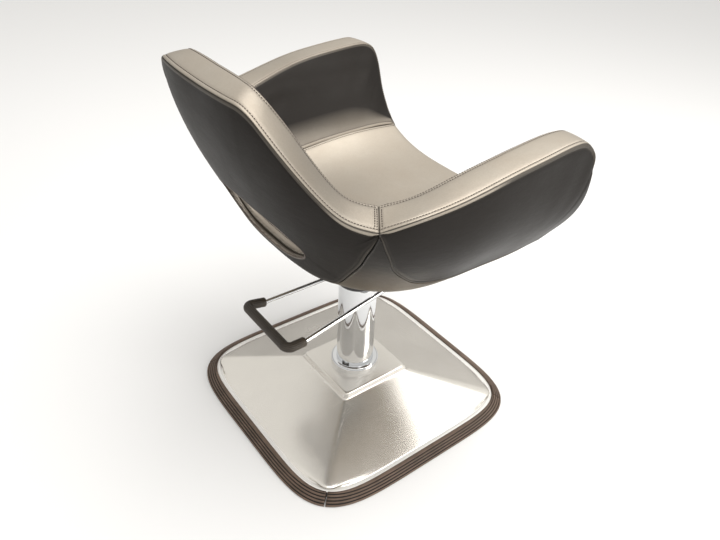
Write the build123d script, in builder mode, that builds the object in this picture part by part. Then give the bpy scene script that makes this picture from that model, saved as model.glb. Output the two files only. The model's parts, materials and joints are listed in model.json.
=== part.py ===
"""Salon styling chair: a padded tub seat on a hydraulic column with a square pressed base.

The frame is +Z up with its origin on the floor under the column.  The chair faces -Y, and it is
symmetric about X = 0 apart from small fasteners.  Sizes are millimetres.
"""
import os
from math import cos, pi, sin

from build123d import *

os.makedirs("parts", exist_ok=True)

# ---------------------------------------------------------------- driving dimensions: base
BASE_HALF = 280.0            # half the width of the base over its rubber trim
BASE_POWER = 4.9             # how square the trim's outline is (superellipse power)
PLATE_HALF = 256.0           # half the width of the pressed plate inside the trim
PLATE_POWER = 5.7
TRIM_HEIGHT = 17.0
TRIM_LIFT = 0.5              # the trim hangs just clear of the floor
TRIM_RIBS = 5
PLATE_THICK = 2.5
PLATE_RIM_Z = 15.0           # top of the plate's flat rim
SLOPE_HALF = 246.0           # where the flat rim turns into the slope
BLOCK_HALF = 82.0            # raised block in the middle of the plate
BLOCK_POWER = 10.0
BLOCK_FOOT_Z = 58.0
BLOCK_TOP_Z = 71.0
PAD_THICK = 6.0
PAD_R = 22.0
PAD_SPAN = 350.0             # between the outer pads; a fifth pad is in the middle
BALLAST_HALF = 222.0
BALLAST_THICK = 10.0
HOLE_IN_PLATE_GAP = 0.4      # between the base cover and the column that rises through it
TRIM_STEP_IN = 4.0           # each rib of the trim is this much narrower than the one below
TRIM_JOINT = 0.6             # half the gap at each corner joint, measured along an axis
BOLT_R = 4.2                 # every bolt, and the hole it fills

# ---------------------------------------------------------------- driving dimensions: column
COLUMN_R = 41.2
COLUMN_WALL = 2.5
COLUMN_TOP_Z = 290.0
COLLAR_R = 53.5
COLLAR_TOP_Z = 87.0
FLANGE_R = 70.0
FLANGE_THICK = 8.0
FLANGE_BOLT_R = 56.0         # radius of the circle of flange bolts
FLANGE_HOLE_R = 5.3
FLANGE_HEX_R = 8.5
FLANGE_HEX_THICK = 6.5
CYLINDER_R = 37.0
CYLINDER_BORE_R = 32.0
CYLINDER_FLOOR = 12.0
GLAND_BOTTOM_Z = 256.0
WIPER_THICK = 4.0
CYLINDER_TOP_Z = 284.0
RAM_R = 28.0
RAM_SHOULDER_Z = 288.5
SPINDLE_R = 18.0
SPINDLE_TOP_Z = 372.0
RUNNING = 0.05               # radial clearance of a running fit
PISTON_Z = 40.0
PISTON_LENGTH = 20.0
SEAL_DEPTH = 3.0             # groove in the piston, filled by its seal
SEAL_HEIGHT = 4.0
SEAL_UP = 8.0
WASHER_THICK = 2.6

# ---------------------------------------------------------------- driving dimensions: head and pedal
HEAD_R = 44.0
HEAD_BOTTOM_Z = 291.5
HEAD_TOP_Z = 387.0
HEAD_BOLT_SPAN = 88.0
HEAD_FLANGE_WIDTH = 112.0
HEAD_FLANGE_THICK = 12.0
BOSS_BOTTOM_Z = 316.0
BOSS_HEIGHT = 40.0
LUG_IN_X = 24.0
LUG_OUT_X = 42.0
SHELL_BOTTOM_Z = 395.0       # underside of the shell; the seat plate lies under it
PIVOT_Y = -54.0
PIVOT_Z = 284.0
PIVOT_R = 6.0
BUSH_R = 8.0
EYE_X = 49.5                 # middle of each pedal eye
EYE_R = 11.0
EYE_WIDTH = 10.0
PEDAL_ROD_R = 4.6
GRIP_R = 10.0
GRIP_REAR_Y = 222.0
PLUNGER_Y = -76.0
PLUNGER_R = 6.0
CAM_NOSE_R = 5.0
CAM_HUB_R = 8.5
CAM_WIDTH = 16.0
PLUNGER_FOOT_R = 9.2
PLUNGER_FOOT_THICK = 3.0
PLUNGER_LENGTH = 50.0
SPRING_WIRE_R = 0.8
SPRING_R = 8.2
SPRING_PITCH = 4.4

# ---------------------------------------------------------------- driving dimensions: tub
FRONT_Y = -232.0
CENTRE_Y = -33.0             # behind this the outline curves round, ahead of it runs straight
OUTER_POWER = 2.7
# height, half-width and rear reach of the tub's outside
OUTER_SECTIONS = [
    (395.0, 140.0, 120.0), (430.0, 235.0, 180.0), (470.0, 279.0, 212.0), (520.0, 315.0, 237.0),
    (580.0, 342.0, 267.0), (650.0, 347.0, 298.0), (720.0, 343.0, 320.0), (805.0, 325.0, 337.0),
]
# height, half-width, rear reach and outline power of the space inside the tub
INNER_SECTIONS = [
    (490.0, 130.0, 172.0, 4.0), (540.0, 209.0, 195.0, 4.0), (575.0, 231.0, 209.0, 4.0),
    (602.0, 245.0, 220.0, 4.0), (640.0, 258.0, 233.0, 4.0), (660.0, 268.0, 240.0, 3.4),
    (690.0, 286.0, 251.0, 3.0), (740.0, 280.0, 268.0, 2.8), (810.0, 284.0, 291.0, 2.8),
]
INNER_CENTRE_Y = 0.0
SHELL_WALL = 12.0
SEAT_HALF = 190.0            # seam between the seat and each arm
SEAT_FRONT_Z = 495.0
SEAT_REAR_Z = 478.0
SEAT_SIDE_RISE = 38.0        # how far the seat rises from its middle to the arm seam
SEAT_REAR_Y = 200.0
BOARD_THICK = 18.0
BOARD_Y = -14.0
SEAT_BOLTS = [(-60, -90), (60, -90), (-60, 66), (60, 66)]
SLOT_HALF = 138.0            # half the length of the slot in the lower back
SLOT_TOP_Z = 560.0
SLOT_BOTTOM_Z = 466.0
SLOT_END_Z = 510.0
SLOT_TRIM_THICK = 3.0
ARM_SEAM_Z = 455.0           # lower seam of the arm panels, over the bottom shell
FRONT_RISE = [(-110, 380), (-110, 395), (-300, 437), (-300, 380)]    # cut away under the front
CUT_REACH = 400.0            # cutting blocks reach this far past the middle on either side
HEX_R = 7.5
HEX_THICK = 5.0
CORNER_OUT = (286.0, 186.0)  # where arm and back meet on the rim, outside and inside
CORNER_IN = (241.5, 154.0)


def squircle(half, power, count=32):
    """Points round a superellipse of the given half-width."""
    points = []
    for i in range(count):
        a = 2 * pi * i / count
        r = half / (abs(cos(a)) ** power + abs(sin(a)) ** power) ** (1 / power)
        points.append((r * cos(a), r * sin(a)))
    return points


def u_outline(half, rear, centre, front, power, steps=5):
    """Corner, arc and corner points of a tub outline: straight sides, then a curved rear."""
    arc = []
    for i in range(2 * steps + 1):
        a = pi * i / (2 * steps)
        x = half * abs(cos(a)) ** (2 / power)
        y = centre + (rear - centre) * sin(a) ** (2 / power)
        arc.append((x if i < steps else -x, y))
    arc[steps] = (0.0, rear)
    return (half, front), arc, (-half, front)


def export(part, name):
    """Label a finished part and write it."""
    part.label = name
    export_step(part, f"parts/{name}.step")


# ================================================================ base
# Rubber trim: four lengths that meet on the corner diagonals.
with BuildPart() as trim_ring:
    step = TRIM_HEIGHT / TRIM_RIBS
    for i in range(TRIM_RIBS):
        low_z = TRIM_LIFT + i * step
        with BuildSketch(Plane.XY.offset(low_z)):
            with BuildLine():
                Spline(*squircle(BASE_HALF - i * TRIM_STEP_IN, BASE_POWER), periodic=True)
            make_face()
        extrude(amount=step)
    with BuildSketch(Plane.XY.offset(TRIM_LIFT)):
        with BuildLine():
            Spline(*squircle(PLATE_HALF, PLATE_POWER), periodic=True)
        make_face()
    extrude(amount=TRIM_HEIGHT, mode=Mode.SUBTRACT)

for side, turn in (("left", 0), ("back", 90), ("right", 180), ("front", 270)):
    with BuildPart() as trim_length:
        add(trim_ring.part)
        with BuildSketch(Plane.XY) as wedge:
            with BuildLine():
                reach = BASE_HALF * 2
                Polyline(
                    (TRIM_JOINT, 0), (reach, reach - TRIM_JOINT), (reach, TRIM_JOINT - reach), close=True,
                )
            make_face()
        extrude(to_extrude=wedge.sketch.rotate(Axis.Z, turn), amount=TRIM_HEIGHT * 2, mode=Mode.INTERSECT)
    export(trim_length.part, f"base_trim_{side}")

# Pressed plate: flat rim, four slopes with rounded hips, and a raised block.
with BuildPart() as base_cover:
    with BuildSketch(Plane.XY.offset(PLATE_RIM_Z - PLATE_THICK)):
        with BuildLine():
            Spline(*squircle(PLATE_HALF, PLATE_POWER), periodic=True)
        make_face()
    extrude(amount=PLATE_THICK)
    with BuildSketch(Plane.XY.offset(PLATE_RIM_Z)):
        with BuildLine():
            Spline(*squircle(SLOPE_HALF, PLATE_POWER), periodic=True)
        make_face()
    with BuildSketch(Plane.XY.offset(BLOCK_FOOT_Z)):
        with BuildLine():
            Spline(*squircle(BLOCK_HALF + 5, BLOCK_POWER), periodic=True)
        make_face()
    loft(ruled=True)
    with BuildSketch(Plane.XY.offset(BLOCK_FOOT_Z)):
        with BuildLine():
            Spline(*squircle(BLOCK_HALF + 5, BLOCK_POWER), periodic=True)
        make_face()
    with BuildSketch(Plane.XY.offset(BLOCK_TOP_Z)):
        with BuildLine():
            Spline(*squircle(BLOCK_HALF - 3, BLOCK_POWER), periodic=True)
        make_face()
    loft(ruled=True)
    with BuildSketch(Plane.XY.offset(PLATE_RIM_Z - PLATE_THICK)):
        with BuildLine():
            Spline(*squircle(SLOPE_HALF - 2, PLATE_POWER), periodic=True)
        make_face()
    with BuildSketch(Plane.XY.offset(BLOCK_FOOT_Z - PLATE_THICK)):
        with BuildLine():
            Spline(*squircle(BLOCK_HALF + 3, BLOCK_POWER), periodic=True)
        make_face()
    loft(ruled=True, mode=Mode.SUBTRACT)
    with BuildSketch(Plane.XY.offset(BLOCK_FOOT_Z - PLATE_THICK - 1)):
        with BuildLine():
            Spline(*squircle(BLOCK_HALF - 6, BLOCK_POWER), periodic=True)
        make_face()
    extrude(amount=BLOCK_TOP_Z - BLOCK_FOOT_Z + 1, mode=Mode.SUBTRACT)
    with BuildSketch(Plane.XY):
        Circle(COLUMN_R + HOLE_IN_PLATE_GAP)
    extrude(amount=BLOCK_TOP_Z + 5, mode=Mode.SUBTRACT)
export(base_cover.part, "base_cover")

# Ballast plate on five rubber pads, under the pressed plate.
with BuildPart() as ballast_plate:
    with BuildSketch(Plane.XY.offset(PAD_THICK)):
        RectangleRounded(2 * BALLAST_HALF, 2 * BALLAST_HALF, 60)
        with PolarLocations(FLANGE_BOLT_R, 4, start_angle=45):
            Circle(BOLT_R, mode=Mode.SUBTRACT)
    extrude(amount=BALLAST_THICK)
export(ballast_plate.part, "ballast_plate")

with BuildPart() as floor_pads:
    with BuildSketch(Plane.XY):
        with GridLocations(PAD_SPAN, PAD_SPAN, 2, 2):
            Circle(PAD_R)
        Circle(PAD_R)
    extrude(amount=PAD_THICK)
export(floor_pads.part, "floor_pads")

ballast_top = PAD_THICK + BALLAST_THICK
flange_top = ballast_top + FLANGE_THICK

# ================================================================ column and pump
with BuildPart() as pump_cylinder:
    with BuildSketch(Plane.XY.offset(ballast_top)):
        Circle(FLANGE_R)
        with PolarLocations(FLANGE_BOLT_R, 4, start_angle=45):
            Circle(FLANGE_HOLE_R, mode=Mode.SUBTRACT)
    extrude(amount=flange_top - ballast_top)
    with BuildSketch(Plane.XY.offset(flange_top)):
        Circle(CYLINDER_R)
    extrude(amount=CYLINDER_TOP_Z - flange_top)
    with BuildSketch(Plane.XY.offset(flange_top + CYLINDER_FLOOR)):
        Circle(CYLINDER_BORE_R)
    extrude(amount=CYLINDER_TOP_Z, mode=Mode.SUBTRACT)
export(pump_cylinder.part, "pump_cylinder")

with BuildPart() as flange_bolts:
    with BuildSketch(Plane.XY.offset(PAD_THICK)):
        with PolarLocations(FLANGE_BOLT_R, 4, start_angle=45):
            Circle(BOLT_R)
    extrude(amount=flange_top - PAD_THICK)
    with BuildSketch(Plane.XY.offset(flange_top)):
        with PolarLocations(FLANGE_BOLT_R, 4, start_angle=45):
            RegularPolygon(radius=FLANGE_HEX_R, side_count=6)
    extrude(amount=FLANGE_HEX_THICK)
export(flange_bolts.part, "flange_bolts")

with BuildPart() as column_tube:
    with BuildSketch(Plane.XY.offset(flange_top)):
        Circle(COLUMN_R)
        Circle(COLUMN_R - COLUMN_WALL, mode=Mode.SUBTRACT)
    extrude(amount=COLUMN_TOP_Z - flange_top)
    fillet(column_tube.edges().group_by(Axis.Z)[-1].sort_by(SortBy.RADIUS)[-1], radius=1.2)
export(column_tube.part, "column_tube")

with BuildPart() as column_collar:
    with BuildSketch(Plane.XZ):
        with BuildLine():
            inner = COLUMN_R + 0.2
            a = Line((inner, BLOCK_TOP_Z), (COLLAR_R, BLOCK_TOP_Z))
            b = Line(a @ 1, (COLLAR_R, COLLAR_TOP_Z - 7))
            c = RadiusArc(b @ 1, (COLLAR_R - 7, COLLAR_TOP_Z), -7)
            d = Line(c @ 1, (inner, COLLAR_TOP_Z))
            Line(d @ 1, a @ 0)
        make_face()
    revolve(axis=Axis.Z)
export(column_collar.part, "column_collar")

with BuildPart() as gland_bush:
    with BuildSketch(Plane.XY.offset(GLAND_BOTTOM_Z)):
        Circle(CYLINDER_BORE_R)
        Circle(RAM_R + RUNNING, mode=Mode.SUBTRACT)
    extrude(amount=CYLINDER_TOP_Z - GLAND_BOTTOM_Z)
export(gland_bush.part, "gland_bush")

with BuildPart() as wiper_ring:
    with BuildSketch(Plane.XY.offset(CYLINDER_TOP_Z)):
        Circle(COLUMN_R - COLUMN_WALL)
        Circle(RAM_R + RUNNING, mode=Mode.SUBTRACT)
    extrude(amount=WIPER_THICK)
export(wiper_ring.part, "wiper_ring")

piston_top = PISTON_Z + PISTON_LENGTH
with BuildPart() as ram:
    with BuildSketch(Plane.XY.offset(piston_top)):
        Circle(RAM_R)
    extrude(amount=RAM_SHOULDER_Z - piston_top)
    with BuildSketch(Plane.XY.offset(RAM_SHOULDER_Z)):
        Circle(SPINDLE_R)
    extrude(amount=SPINDLE_TOP_Z - RAM_SHOULDER_Z)
    chamfer(ram.edges().group_by(Axis.Z)[-1], length=2)
export(ram.part, "ram")

with BuildPart() as piston:
    with BuildSketch(Plane.XY.offset(PISTON_Z)):
        Circle(CYLINDER_BORE_R - RUNNING)
    extrude(amount=PISTON_LENGTH)
    with BuildSketch(Plane.XY.offset(PISTON_Z + SEAL_UP)):
        Circle(CYLINDER_BORE_R)
        Circle(CYLINDER_BORE_R - SEAL_DEPTH, mode=Mode.SUBTRACT)
    extrude(amount=SEAL_HEIGHT, mode=Mode.SUBTRACT)
export(piston.part, "piston")

with BuildPart() as piston_seal:
    with BuildSketch(Plane.XY.offset(PISTON_Z + SEAL_UP)):
        Circle(CYLINDER_BORE_R - RUNNING)
        Circle(CYLINDER_BORE_R - SEAL_DEPTH, mode=Mode.SUBTRACT)
    extrude(amount=SEAL_HEIGHT)
export(piston_seal.part, "piston_seal")

with BuildPart() as thrust_washer:
    with BuildSketch(Plane.XY.offset(RAM_SHOULDER_Z)):
        Circle(RAM_R)
        Circle(SPINDLE_R, mode=Mode.SUBTRACT)
    extrude(amount=WASHER_THICK)
export(thrust_washer.part, "thrust_washer")

# ================================================================ pump head
with BuildPart() as pump_head:
    with BuildSketch(Plane.XY.offset(HEAD_BOTTOM_Z)):
        Circle(HEAD_R)
    extrude(amount=HEAD_TOP_Z - HEAD_BOTTOM_Z)
    with BuildSketch(Plane.XY.offset(HEAD_TOP_Z - HEAD_FLANGE_THICK)):
        RectangleRounded(HEAD_FLANGE_WIDTH, HEAD_FLANGE_WIDTH, 10)
        with GridLocations(HEAD_BOLT_SPAN, HEAD_BOLT_SPAN, 2, 2):
            Circle(BOLT_R, mode=Mode.SUBTRACT)
    extrude(amount=HEAD_FLANGE_THICK)
    with BuildSketch(Plane.XY.offset(BOSS_BOTTOM_Z)):
        with Locations((0, PLUNGER_Y + 16)):
            RectangleRounded(32, 60, 8)
    extrude(amount=BOSS_HEIGHT)
    for x in (-LUG_OUT_X, LUG_IN_X):
        with BuildSketch(Plane.YZ.offset(x)):
            with BuildLine():
                lug_back = -COLUMN_R - 1.4
                Polyline(
                    (lug_back, HEAD_BOTTOM_Z), (-20, HEAD_BOTTOM_Z), (-20, HEAD_BOTTOM_Z + 40),
                    (PIVOT_Y - 12, HEAD_BOTTOM_Z + 30), (PIVOT_Y - 12, PIVOT_Z - 6),
                    (PIVOT_Y - 6, PIVOT_Z - 12), (lug_back, PIVOT_Z - 12), close=True,
                )
            make_face()
        extrude(amount=LUG_OUT_X - LUG_IN_X)
    with BuildSketch(Plane.YZ.offset(-CUT_REACH)):
        with Locations((PIVOT_Y, PIVOT_Z)):
            Circle(BUSH_R)
    extrude(amount=2 * CUT_REACH, mode=Mode.SUBTRACT)
    with BuildSketch(Plane.XY.offset(HEAD_BOTTOM_Z - 1)):
        Circle(SPINDLE_R + RUNNING)
    extrude(amount=SPINDLE_TOP_Z + 2 - HEAD_BOTTOM_Z, mode=Mode.SUBTRACT)
    with BuildSketch(Plane.XY.offset(BOSS_BOTTOM_Z - 1)):
        with Locations((0, PLUNGER_Y)):
            Circle(PLUNGER_R + RUNNING)
    extrude(amount=34, mode=Mode.SUBTRACT)
export(pump_head.part, "pump_head")

for side, x in (("right", -LUG_OUT_X), ("left", LUG_IN_X)):
    with BuildPart() as bush:
        with BuildSketch(Plane.YZ.offset(x)):
            with Locations((PIVOT_Y, PIVOT_Z)):
                Circle(BUSH_R)
                Circle(PIVOT_R + RUNNING, mode=Mode.SUBTRACT)
        extrude(amount=LUG_OUT_X - LUG_IN_X)
    export(bush.part, f"pedal_bush_{side}")

# ================================================================ pedal
with BuildPart() as pedal_shaft:
    with BuildSketch(Plane.YZ.offset(-EYE_X - 6)):
        with Locations((PIVOT_Y, PIVOT_Z)):
            Circle(PIVOT_R)
    extrude(amount=2 * EYE_X + 12)
export(pedal_shaft.part, "pedal_shaft")

with BuildPart() as pedal_cam:
    with BuildSketch(Plane.YZ.offset(-CAM_WIDTH / 2)):
        with Locations((PIVOT_Y, PIVOT_Z)):
            Circle(CAM_HUB_R)
        with Locations((PLUNGER_Y, PIVOT_Z)):
            Circle(CAM_NOSE_R)
        with BuildLine():
            Polyline(
                (PIVOT_Y, PIVOT_Z + CAM_NOSE_R), (PLUNGER_Y, PIVOT_Z + CAM_NOSE_R),
                (PLUNGER_Y, PIVOT_Z - CAM_NOSE_R), (PIVOT_Y, PIVOT_Z - CAM_NOSE_R), close=True,
            )
        make_face()
        with Locations((PIVOT_Y, PIVOT_Z)):
            Circle(PIVOT_R, mode=Mode.SUBTRACT)
    extrude(amount=CAM_WIDTH)
export(pedal_cam.part, "pedal_cam")

# U-shaped foot bar: it runs back beside the column, widening a little, and turns across behind it.
grip_start = (75.0, 181.0, 261.5)
grip_corner = (80.0, GRIP_REAR_Y, 266.0)
with BuildPart() as pedal_bar:
    with BuildLine() as bar_path:
        FilletPolyline(
            (EYE_X, PIVOT_Y + 8, PIVOT_Z - 0.8), grip_start, grip_corner,
            (-grip_corner[0], grip_corner[1], grip_corner[2]),
            (-grip_start[0], grip_start[1], grip_start[2]), (-EYE_X, PIVOT_Y + 8, PIVOT_Z - 0.8),
            radius=11,
        )
    with BuildSketch(Plane(origin=bar_path.line @ 0, z_dir=bar_path.line % 0)):
        Circle(PEDAL_ROD_R)
    sweep()
    for x in (-EYE_X, EYE_X):
        with BuildSketch(Plane.YZ.offset(x - EYE_WIDTH / 2)):
            with Locations((PIVOT_Y, PIVOT_Z)):
                Circle(EYE_R)
        extrude(amount=EYE_WIDTH)
    with BuildSketch(Plane.YZ.offset(-EYE_X - 6)):
        with Locations((PIVOT_Y, PIVOT_Z)):
            Circle(PIVOT_R)
    extrude(amount=2 * EYE_X + 12, mode=Mode.SUBTRACT)
export(pedal_bar.part, "pedal_bar")

with BuildPart() as pedal_grip:
    with BuildLine() as grip_path:
        FilletPolyline(
            grip_start, grip_corner, (-grip_corner[0], grip_corner[1], grip_corner[2]),
            (-grip_start[0], grip_start[1], grip_start[2]), radius=11.5,
        )
    with BuildSketch(Plane(origin=grip_path.line @ 0, z_dir=grip_path.line % 0)):
        Circle(GRIP_R)
    sweep()
    add(pedal_bar.part, mode=Mode.SUBTRACT)
export(pedal_grip.part, "pedal_grip")

# Plunger pushed up by the cam, with its return spring round it.
plunger_foot_z = PIVOT_Z + CAM_NOSE_R + 0.3
with BuildPart() as pump_plunger:
    with BuildSketch(Plane.XY.offset(plunger_foot_z)):
        with Locations((0, PLUNGER_Y)):
            Circle(PLUNGER_FOOT_R)
    extrude(amount=PLUNGER_FOOT_THICK)
    with BuildSketch(Plane.XY.offset(plunger_foot_z)):
        with Locations((0, PLUNGER_Y)):
            Circle(PLUNGER_R)
    extrude(amount=PLUNGER_LENGTH)
export(pump_plunger.part, "pump_plunger")

spring_bottom = plunger_foot_z + PLUNGER_FOOT_THICK
with BuildPart() as plunger_spring:
    with BuildLine(Plane((0, PLUNGER_Y, spring_bottom + SPRING_WIRE_R))) as coil:
        spring_height = BOSS_BOTTOM_Z - spring_bottom - 2 * SPRING_WIRE_R
        Helix(pitch=SPRING_PITCH, height=spring_height, radius=SPRING_R)
    with BuildSketch(Plane(origin=coil.line @ 0, z_dir=coil.line % 0)):
        Circle(SPRING_WIRE_R)
    sweep(is_frenet=True)
export(plunger_spring.part, "plunger_spring")

# ================================================================ tub: shared forms
def tub_form(sections, centre, front, inset, drop):
    """Solid tub lofted through level outlines, drawn in by inset and shifted by drop."""
    with BuildPart() as form:
        for row in sections:
            z, half, rear = row[:3]
            power = row[3] if len(row) > 3 else OUTER_POWER
            first, arc, last = u_outline(half - inset, rear - inset, centre, front, power)
            with BuildSketch(Plane.XY.offset(z + drop)):
                with BuildLine():
                    Line(first, arc[0])
                    Spline(*arc, tangents=[(0, 1), (0, -1)])
                    Line(arc[-1], last)
                    Line(last, first)
                make_face()
        loft(ruled=True)
    return form.part


outer_form = tub_form(OUTER_SECTIONS, CENTRE_Y, FRONT_Y, 0, 0)
lining_form = tub_form(OUTER_SECTIONS, CENTRE_Y, FRONT_Y - 10, SHELL_WALL, SHELL_WALL)
cavity_form = tub_form(INNER_SECTIONS, INNER_CENTRE_Y, FRONT_Y - 10, 0, 0)

# Side view of the rim: the arms' top edge from the front tip to the corner with the back.
ARM_TOP = [
    (-232, 664), (-222, 684), (-188, 694), (-129, 690.5), (-35, 678), (64, 656), (142, 636), (190, 617),
]
with BuildPart() as above_arms:
    with BuildSketch(Plane.YZ.offset(-CUT_REACH)):
        with BuildLine():
            rim = Spline(*ARM_TOP)
            Polyline(rim @ 1, (420, 600), (420, 900), (-300, 900), (-300, 640), rim @ 0)
        make_face()
    extrude(amount=2 * CUT_REACH)

# Space taken by the back: everything behind the corner seam and between the back's sloping sides.
# Each row is a height, then the side line's X at the front and rear of the block.
BACK_FRONT_Y = 60.0
BACK_REAR_Y = 400.0
corner_slope = (CORNER_OUT[0] - CORNER_IN[0]) / (CORNER_OUT[1] - CORNER_IN[1])
corner_front_x = CORNER_IN[0] + (BACK_FRONT_Y - CORNER_IN[1]) * corner_slope
corner_rear_x = CORNER_IN[0] + (BACK_REAR_Y - CORNER_IN[1]) * corner_slope
BACK_SIDES = [
    (500.0, corner_front_x, corner_rear_x), (620.0, corner_front_x, corner_rear_x),
    (640.0, 167.0, 337.0), (665.0, 102.0, 329.0), (730.0, 32.0, 258.0), (805.0, 12.0, 170.0),
]
with BuildPart() as back_space:
    for z, front_x, rear_x in BACK_SIDES:
        with BuildSketch(Plane.XY.offset(z)):
            with BuildLine():
                Polyline(
                    (front_x, BACK_FRONT_Y), (rear_x, BACK_REAR_Y), (-rear_x, BACK_REAR_Y),
                    (-front_x, BACK_FRONT_Y), close=True,
                )
            make_face()
    loft(ruled=True)
    # the top band slopes up towards the front
    with BuildSketch(Plane.YZ.offset(-CUT_REACH)):
        with BuildLine():
            Polyline((420, 742), (200, 834.5), (200, 900), (420, 900), close=True)
        make_face()
    extrude(amount=2 * CUT_REACH, mode=Mode.SUBTRACT)

def slot_prism(border):
    """Lens-shaped block through the lower back, larger than the slot by a border."""
    end = SLOT_HALF + 1.4 * border
    with BuildPart() as prism:
        with BuildSketch(Plane.XZ.offset(-300)):
            with BuildLine():
                ThreePointArc((-end, SLOT_END_Z), (0, SLOT_TOP_Z + border), (end, SLOT_END_Z))
                ThreePointArc((end, SLOT_END_Z), (0, SLOT_BOTTOM_Z - border), (-end, SLOT_END_Z))
            make_face()
        extrude(amount=160)
    return prism.part


# Lens-shaped slot through the lower back, and the same with room for its edging.
slot_space = slot_prism(0)
slot_cut = slot_prism(SLOT_TRIM_THICK)

# Side view of the shell: level under the arms, rising to a point at the corner with the back.
with BuildPart() as shell_space:
    with BuildSketch(Plane.YZ.offset(-CUT_REACH)):
        with BuildLine():
            rise = Spline(
                (-20, ARM_SEAM_Z), (57, 469), (115, 498), (155, 540), (186, 612),
                tangents=[(1, 0), (0.2, 1)],
            )
            Polyline(
                rise @ 1, (191, 612), (191, 500), (300, 500), (300, 380), (-300, 380),
                (-300, ARM_SEAM_Z), rise @ 0,
            )
        make_face()
    extrude(amount=2 * CUT_REACH)

# ================================================================ tub: shell and board
def front_rise(lift):
    """Block taken off under the front of the shell, raised by lift."""
    with BuildPart() as block:
        with BuildSketch(Plane.YZ.offset(-CUT_REACH)):
            with BuildLine():
                Polyline(*[(y, z + lift) for y, z in FRONT_RISE], close=True)
            make_face()
        extrude(amount=2 * CUT_REACH)
    return block.part


with BuildPart() as lining:
    add(lining_form)
    add(front_rise(SHELL_WALL), mode=Mode.SUBTRACT)

with BuildPart() as bottom_shell:
    add(outer_form)
    add(shell_space.part, mode=Mode.INTERSECT)
    add(front_rise(0), mode=Mode.SUBTRACT)
    add(lining.part, mode=Mode.SUBTRACT)
    add(slot_cut, mode=Mode.SUBTRACT)
    with BuildSketch(Plane.XY.offset(SHELL_BOTTOM_Z - 1)):
        with Locations(*SEAT_BOLTS):
            Circle(BOLT_R)
    extrude(amount=SHELL_WALL + 4, mode=Mode.SUBTRACT)
export(bottom_shell.part, "bottom_shell")

board_bottom = SHELL_BOTTOM_Z + SHELL_WALL
board_top = board_bottom + BOARD_THICK
with BuildPart() as seat_board:
    with BuildSketch(Plane.XY.offset(board_bottom)):
        with Locations((0, BOARD_Y)):
            RectangleRounded(220, 188, 30)
        with Locations(*SEAT_BOLTS):
            Circle(BOLT_R, mode=Mode.SUBTRACT)
    extrude(amount=BOARD_THICK)
export(seat_board.part, "seat_board")

tee_nut_top = board_top + 1.5
with BuildPart() as tee_nuts:
    with BuildSketch(Plane.XY.offset(board_top)):
        with Locations(*SEAT_BOLTS):
            Circle(9)
            Circle(BOLT_R, mode=Mode.SUBTRACT)
    extrude(amount=tee_nut_top - board_top)
export(tee_nuts.part, "tee_nuts")

with BuildPart() as seat_plate:
    with BuildSketch(Plane.XY.offset(HEAD_TOP_Z)):
        with Locations((0, BOARD_Y)):
            RectangleRounded(190, 200, 16)
        with Locations(*SEAT_BOLTS):
            Circle(BOLT_R, mode=Mode.SUBTRACT)
        with GridLocations(HEAD_BOLT_SPAN, HEAD_BOLT_SPAN, 2, 2):
            Circle(BOLT_R, mode=Mode.SUBTRACT)
    extrude(amount=SHELL_BOTTOM_Z - HEAD_TOP_Z)
export(seat_plate.part, "seat_plate")

with BuildPart() as seat_bolts:
    with BuildSketch(Plane.XY.offset(HEAD_TOP_Z)):
        with Locations(*SEAT_BOLTS):
            Circle(BOLT_R)
    extrude(amount=tee_nut_top - HEAD_TOP_Z)
    with BuildSketch(Plane.XY.offset(HEAD_TOP_Z - HEX_THICK)):
        with Locations(*SEAT_BOLTS):
            RegularPolygon(radius=HEX_R, side_count=6)
    extrude(amount=HEX_THICK)
export(seat_bolts.part, "seat_bolts")

with BuildPart() as head_bolts:
    with BuildSketch(Plane.XY.offset(HEAD_TOP_Z - HEAD_FLANGE_THICK)):
        with GridLocations(HEAD_BOLT_SPAN, HEAD_BOLT_SPAN, 2, 2):
            Circle(BOLT_R)
    extrude(amount=HEAD_FLANGE_THICK + SHELL_BOTTOM_Z - HEAD_TOP_Z)
    with BuildSketch(Plane.XY.offset(HEAD_TOP_Z - HEAD_FLANGE_THICK - HEX_THICK)):
        with GridLocations(HEAD_BOLT_SPAN, HEAD_BOLT_SPAN, 2, 2):
            RegularPolygon(radius=HEX_R, side_count=6)
    extrude(amount=HEX_THICK)
export(head_bolts.part, "head_bolts")

with BuildPart() as slot_trim:
    add(outer_form)
    add(slot_cut, mode=Mode.INTERSECT)
    add(slot_space, mode=Mode.SUBTRACT)
    add(lining_form, mode=Mode.SUBTRACT)
export(slot_trim.part, "slot_trim")

# ================================================================ tub: frame bars inside the padding
BAR_THICK = 6.0
ARM_BAR_WIDTH = 40.0
BACK_BAR_WIDTH = 24.0
ARM_BAR = [(80, 428), (150, 428), (232, 474), (280, 535), (298, 600), (303, 645)]
arm_bars = []
for side, sign in (("left", 1), ("right", -1)):
    with BuildPart() as arm_bar:
        with BuildSketch(Plane.XZ.offset(ARM_BAR_WIDTH / 2)):
            with BuildLine():
                FilletPolyline(*[(sign * x, z) for x, z in ARM_BAR], radius=20)
            trace(line_width=BAR_THICK)
        extrude(amount=ARM_BAR_WIDTH)
    export(arm_bar.part, f"arm_bar_{side}")
    arm_bars.append(arm_bar.part)

BACK_BAR = [(150, 468), (162, 490), (186, 535), (245, 640), (262, 690)]
back_bars = []
for side, x in (("left", 150), ("right", -150 - BACK_BAR_WIDTH)):
    with BuildPart() as back_bar:
        with BuildSketch(Plane.YZ.offset(x)):
            with BuildLine():
                FilletPolyline(*BACK_BAR, radius=14)
            trace(line_width=BAR_THICK)
        extrude(amount=BACK_BAR_WIDTH)
    export(back_bar.part, f"back_bar_{side}")
    back_bars.append(back_bar.part)

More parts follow.
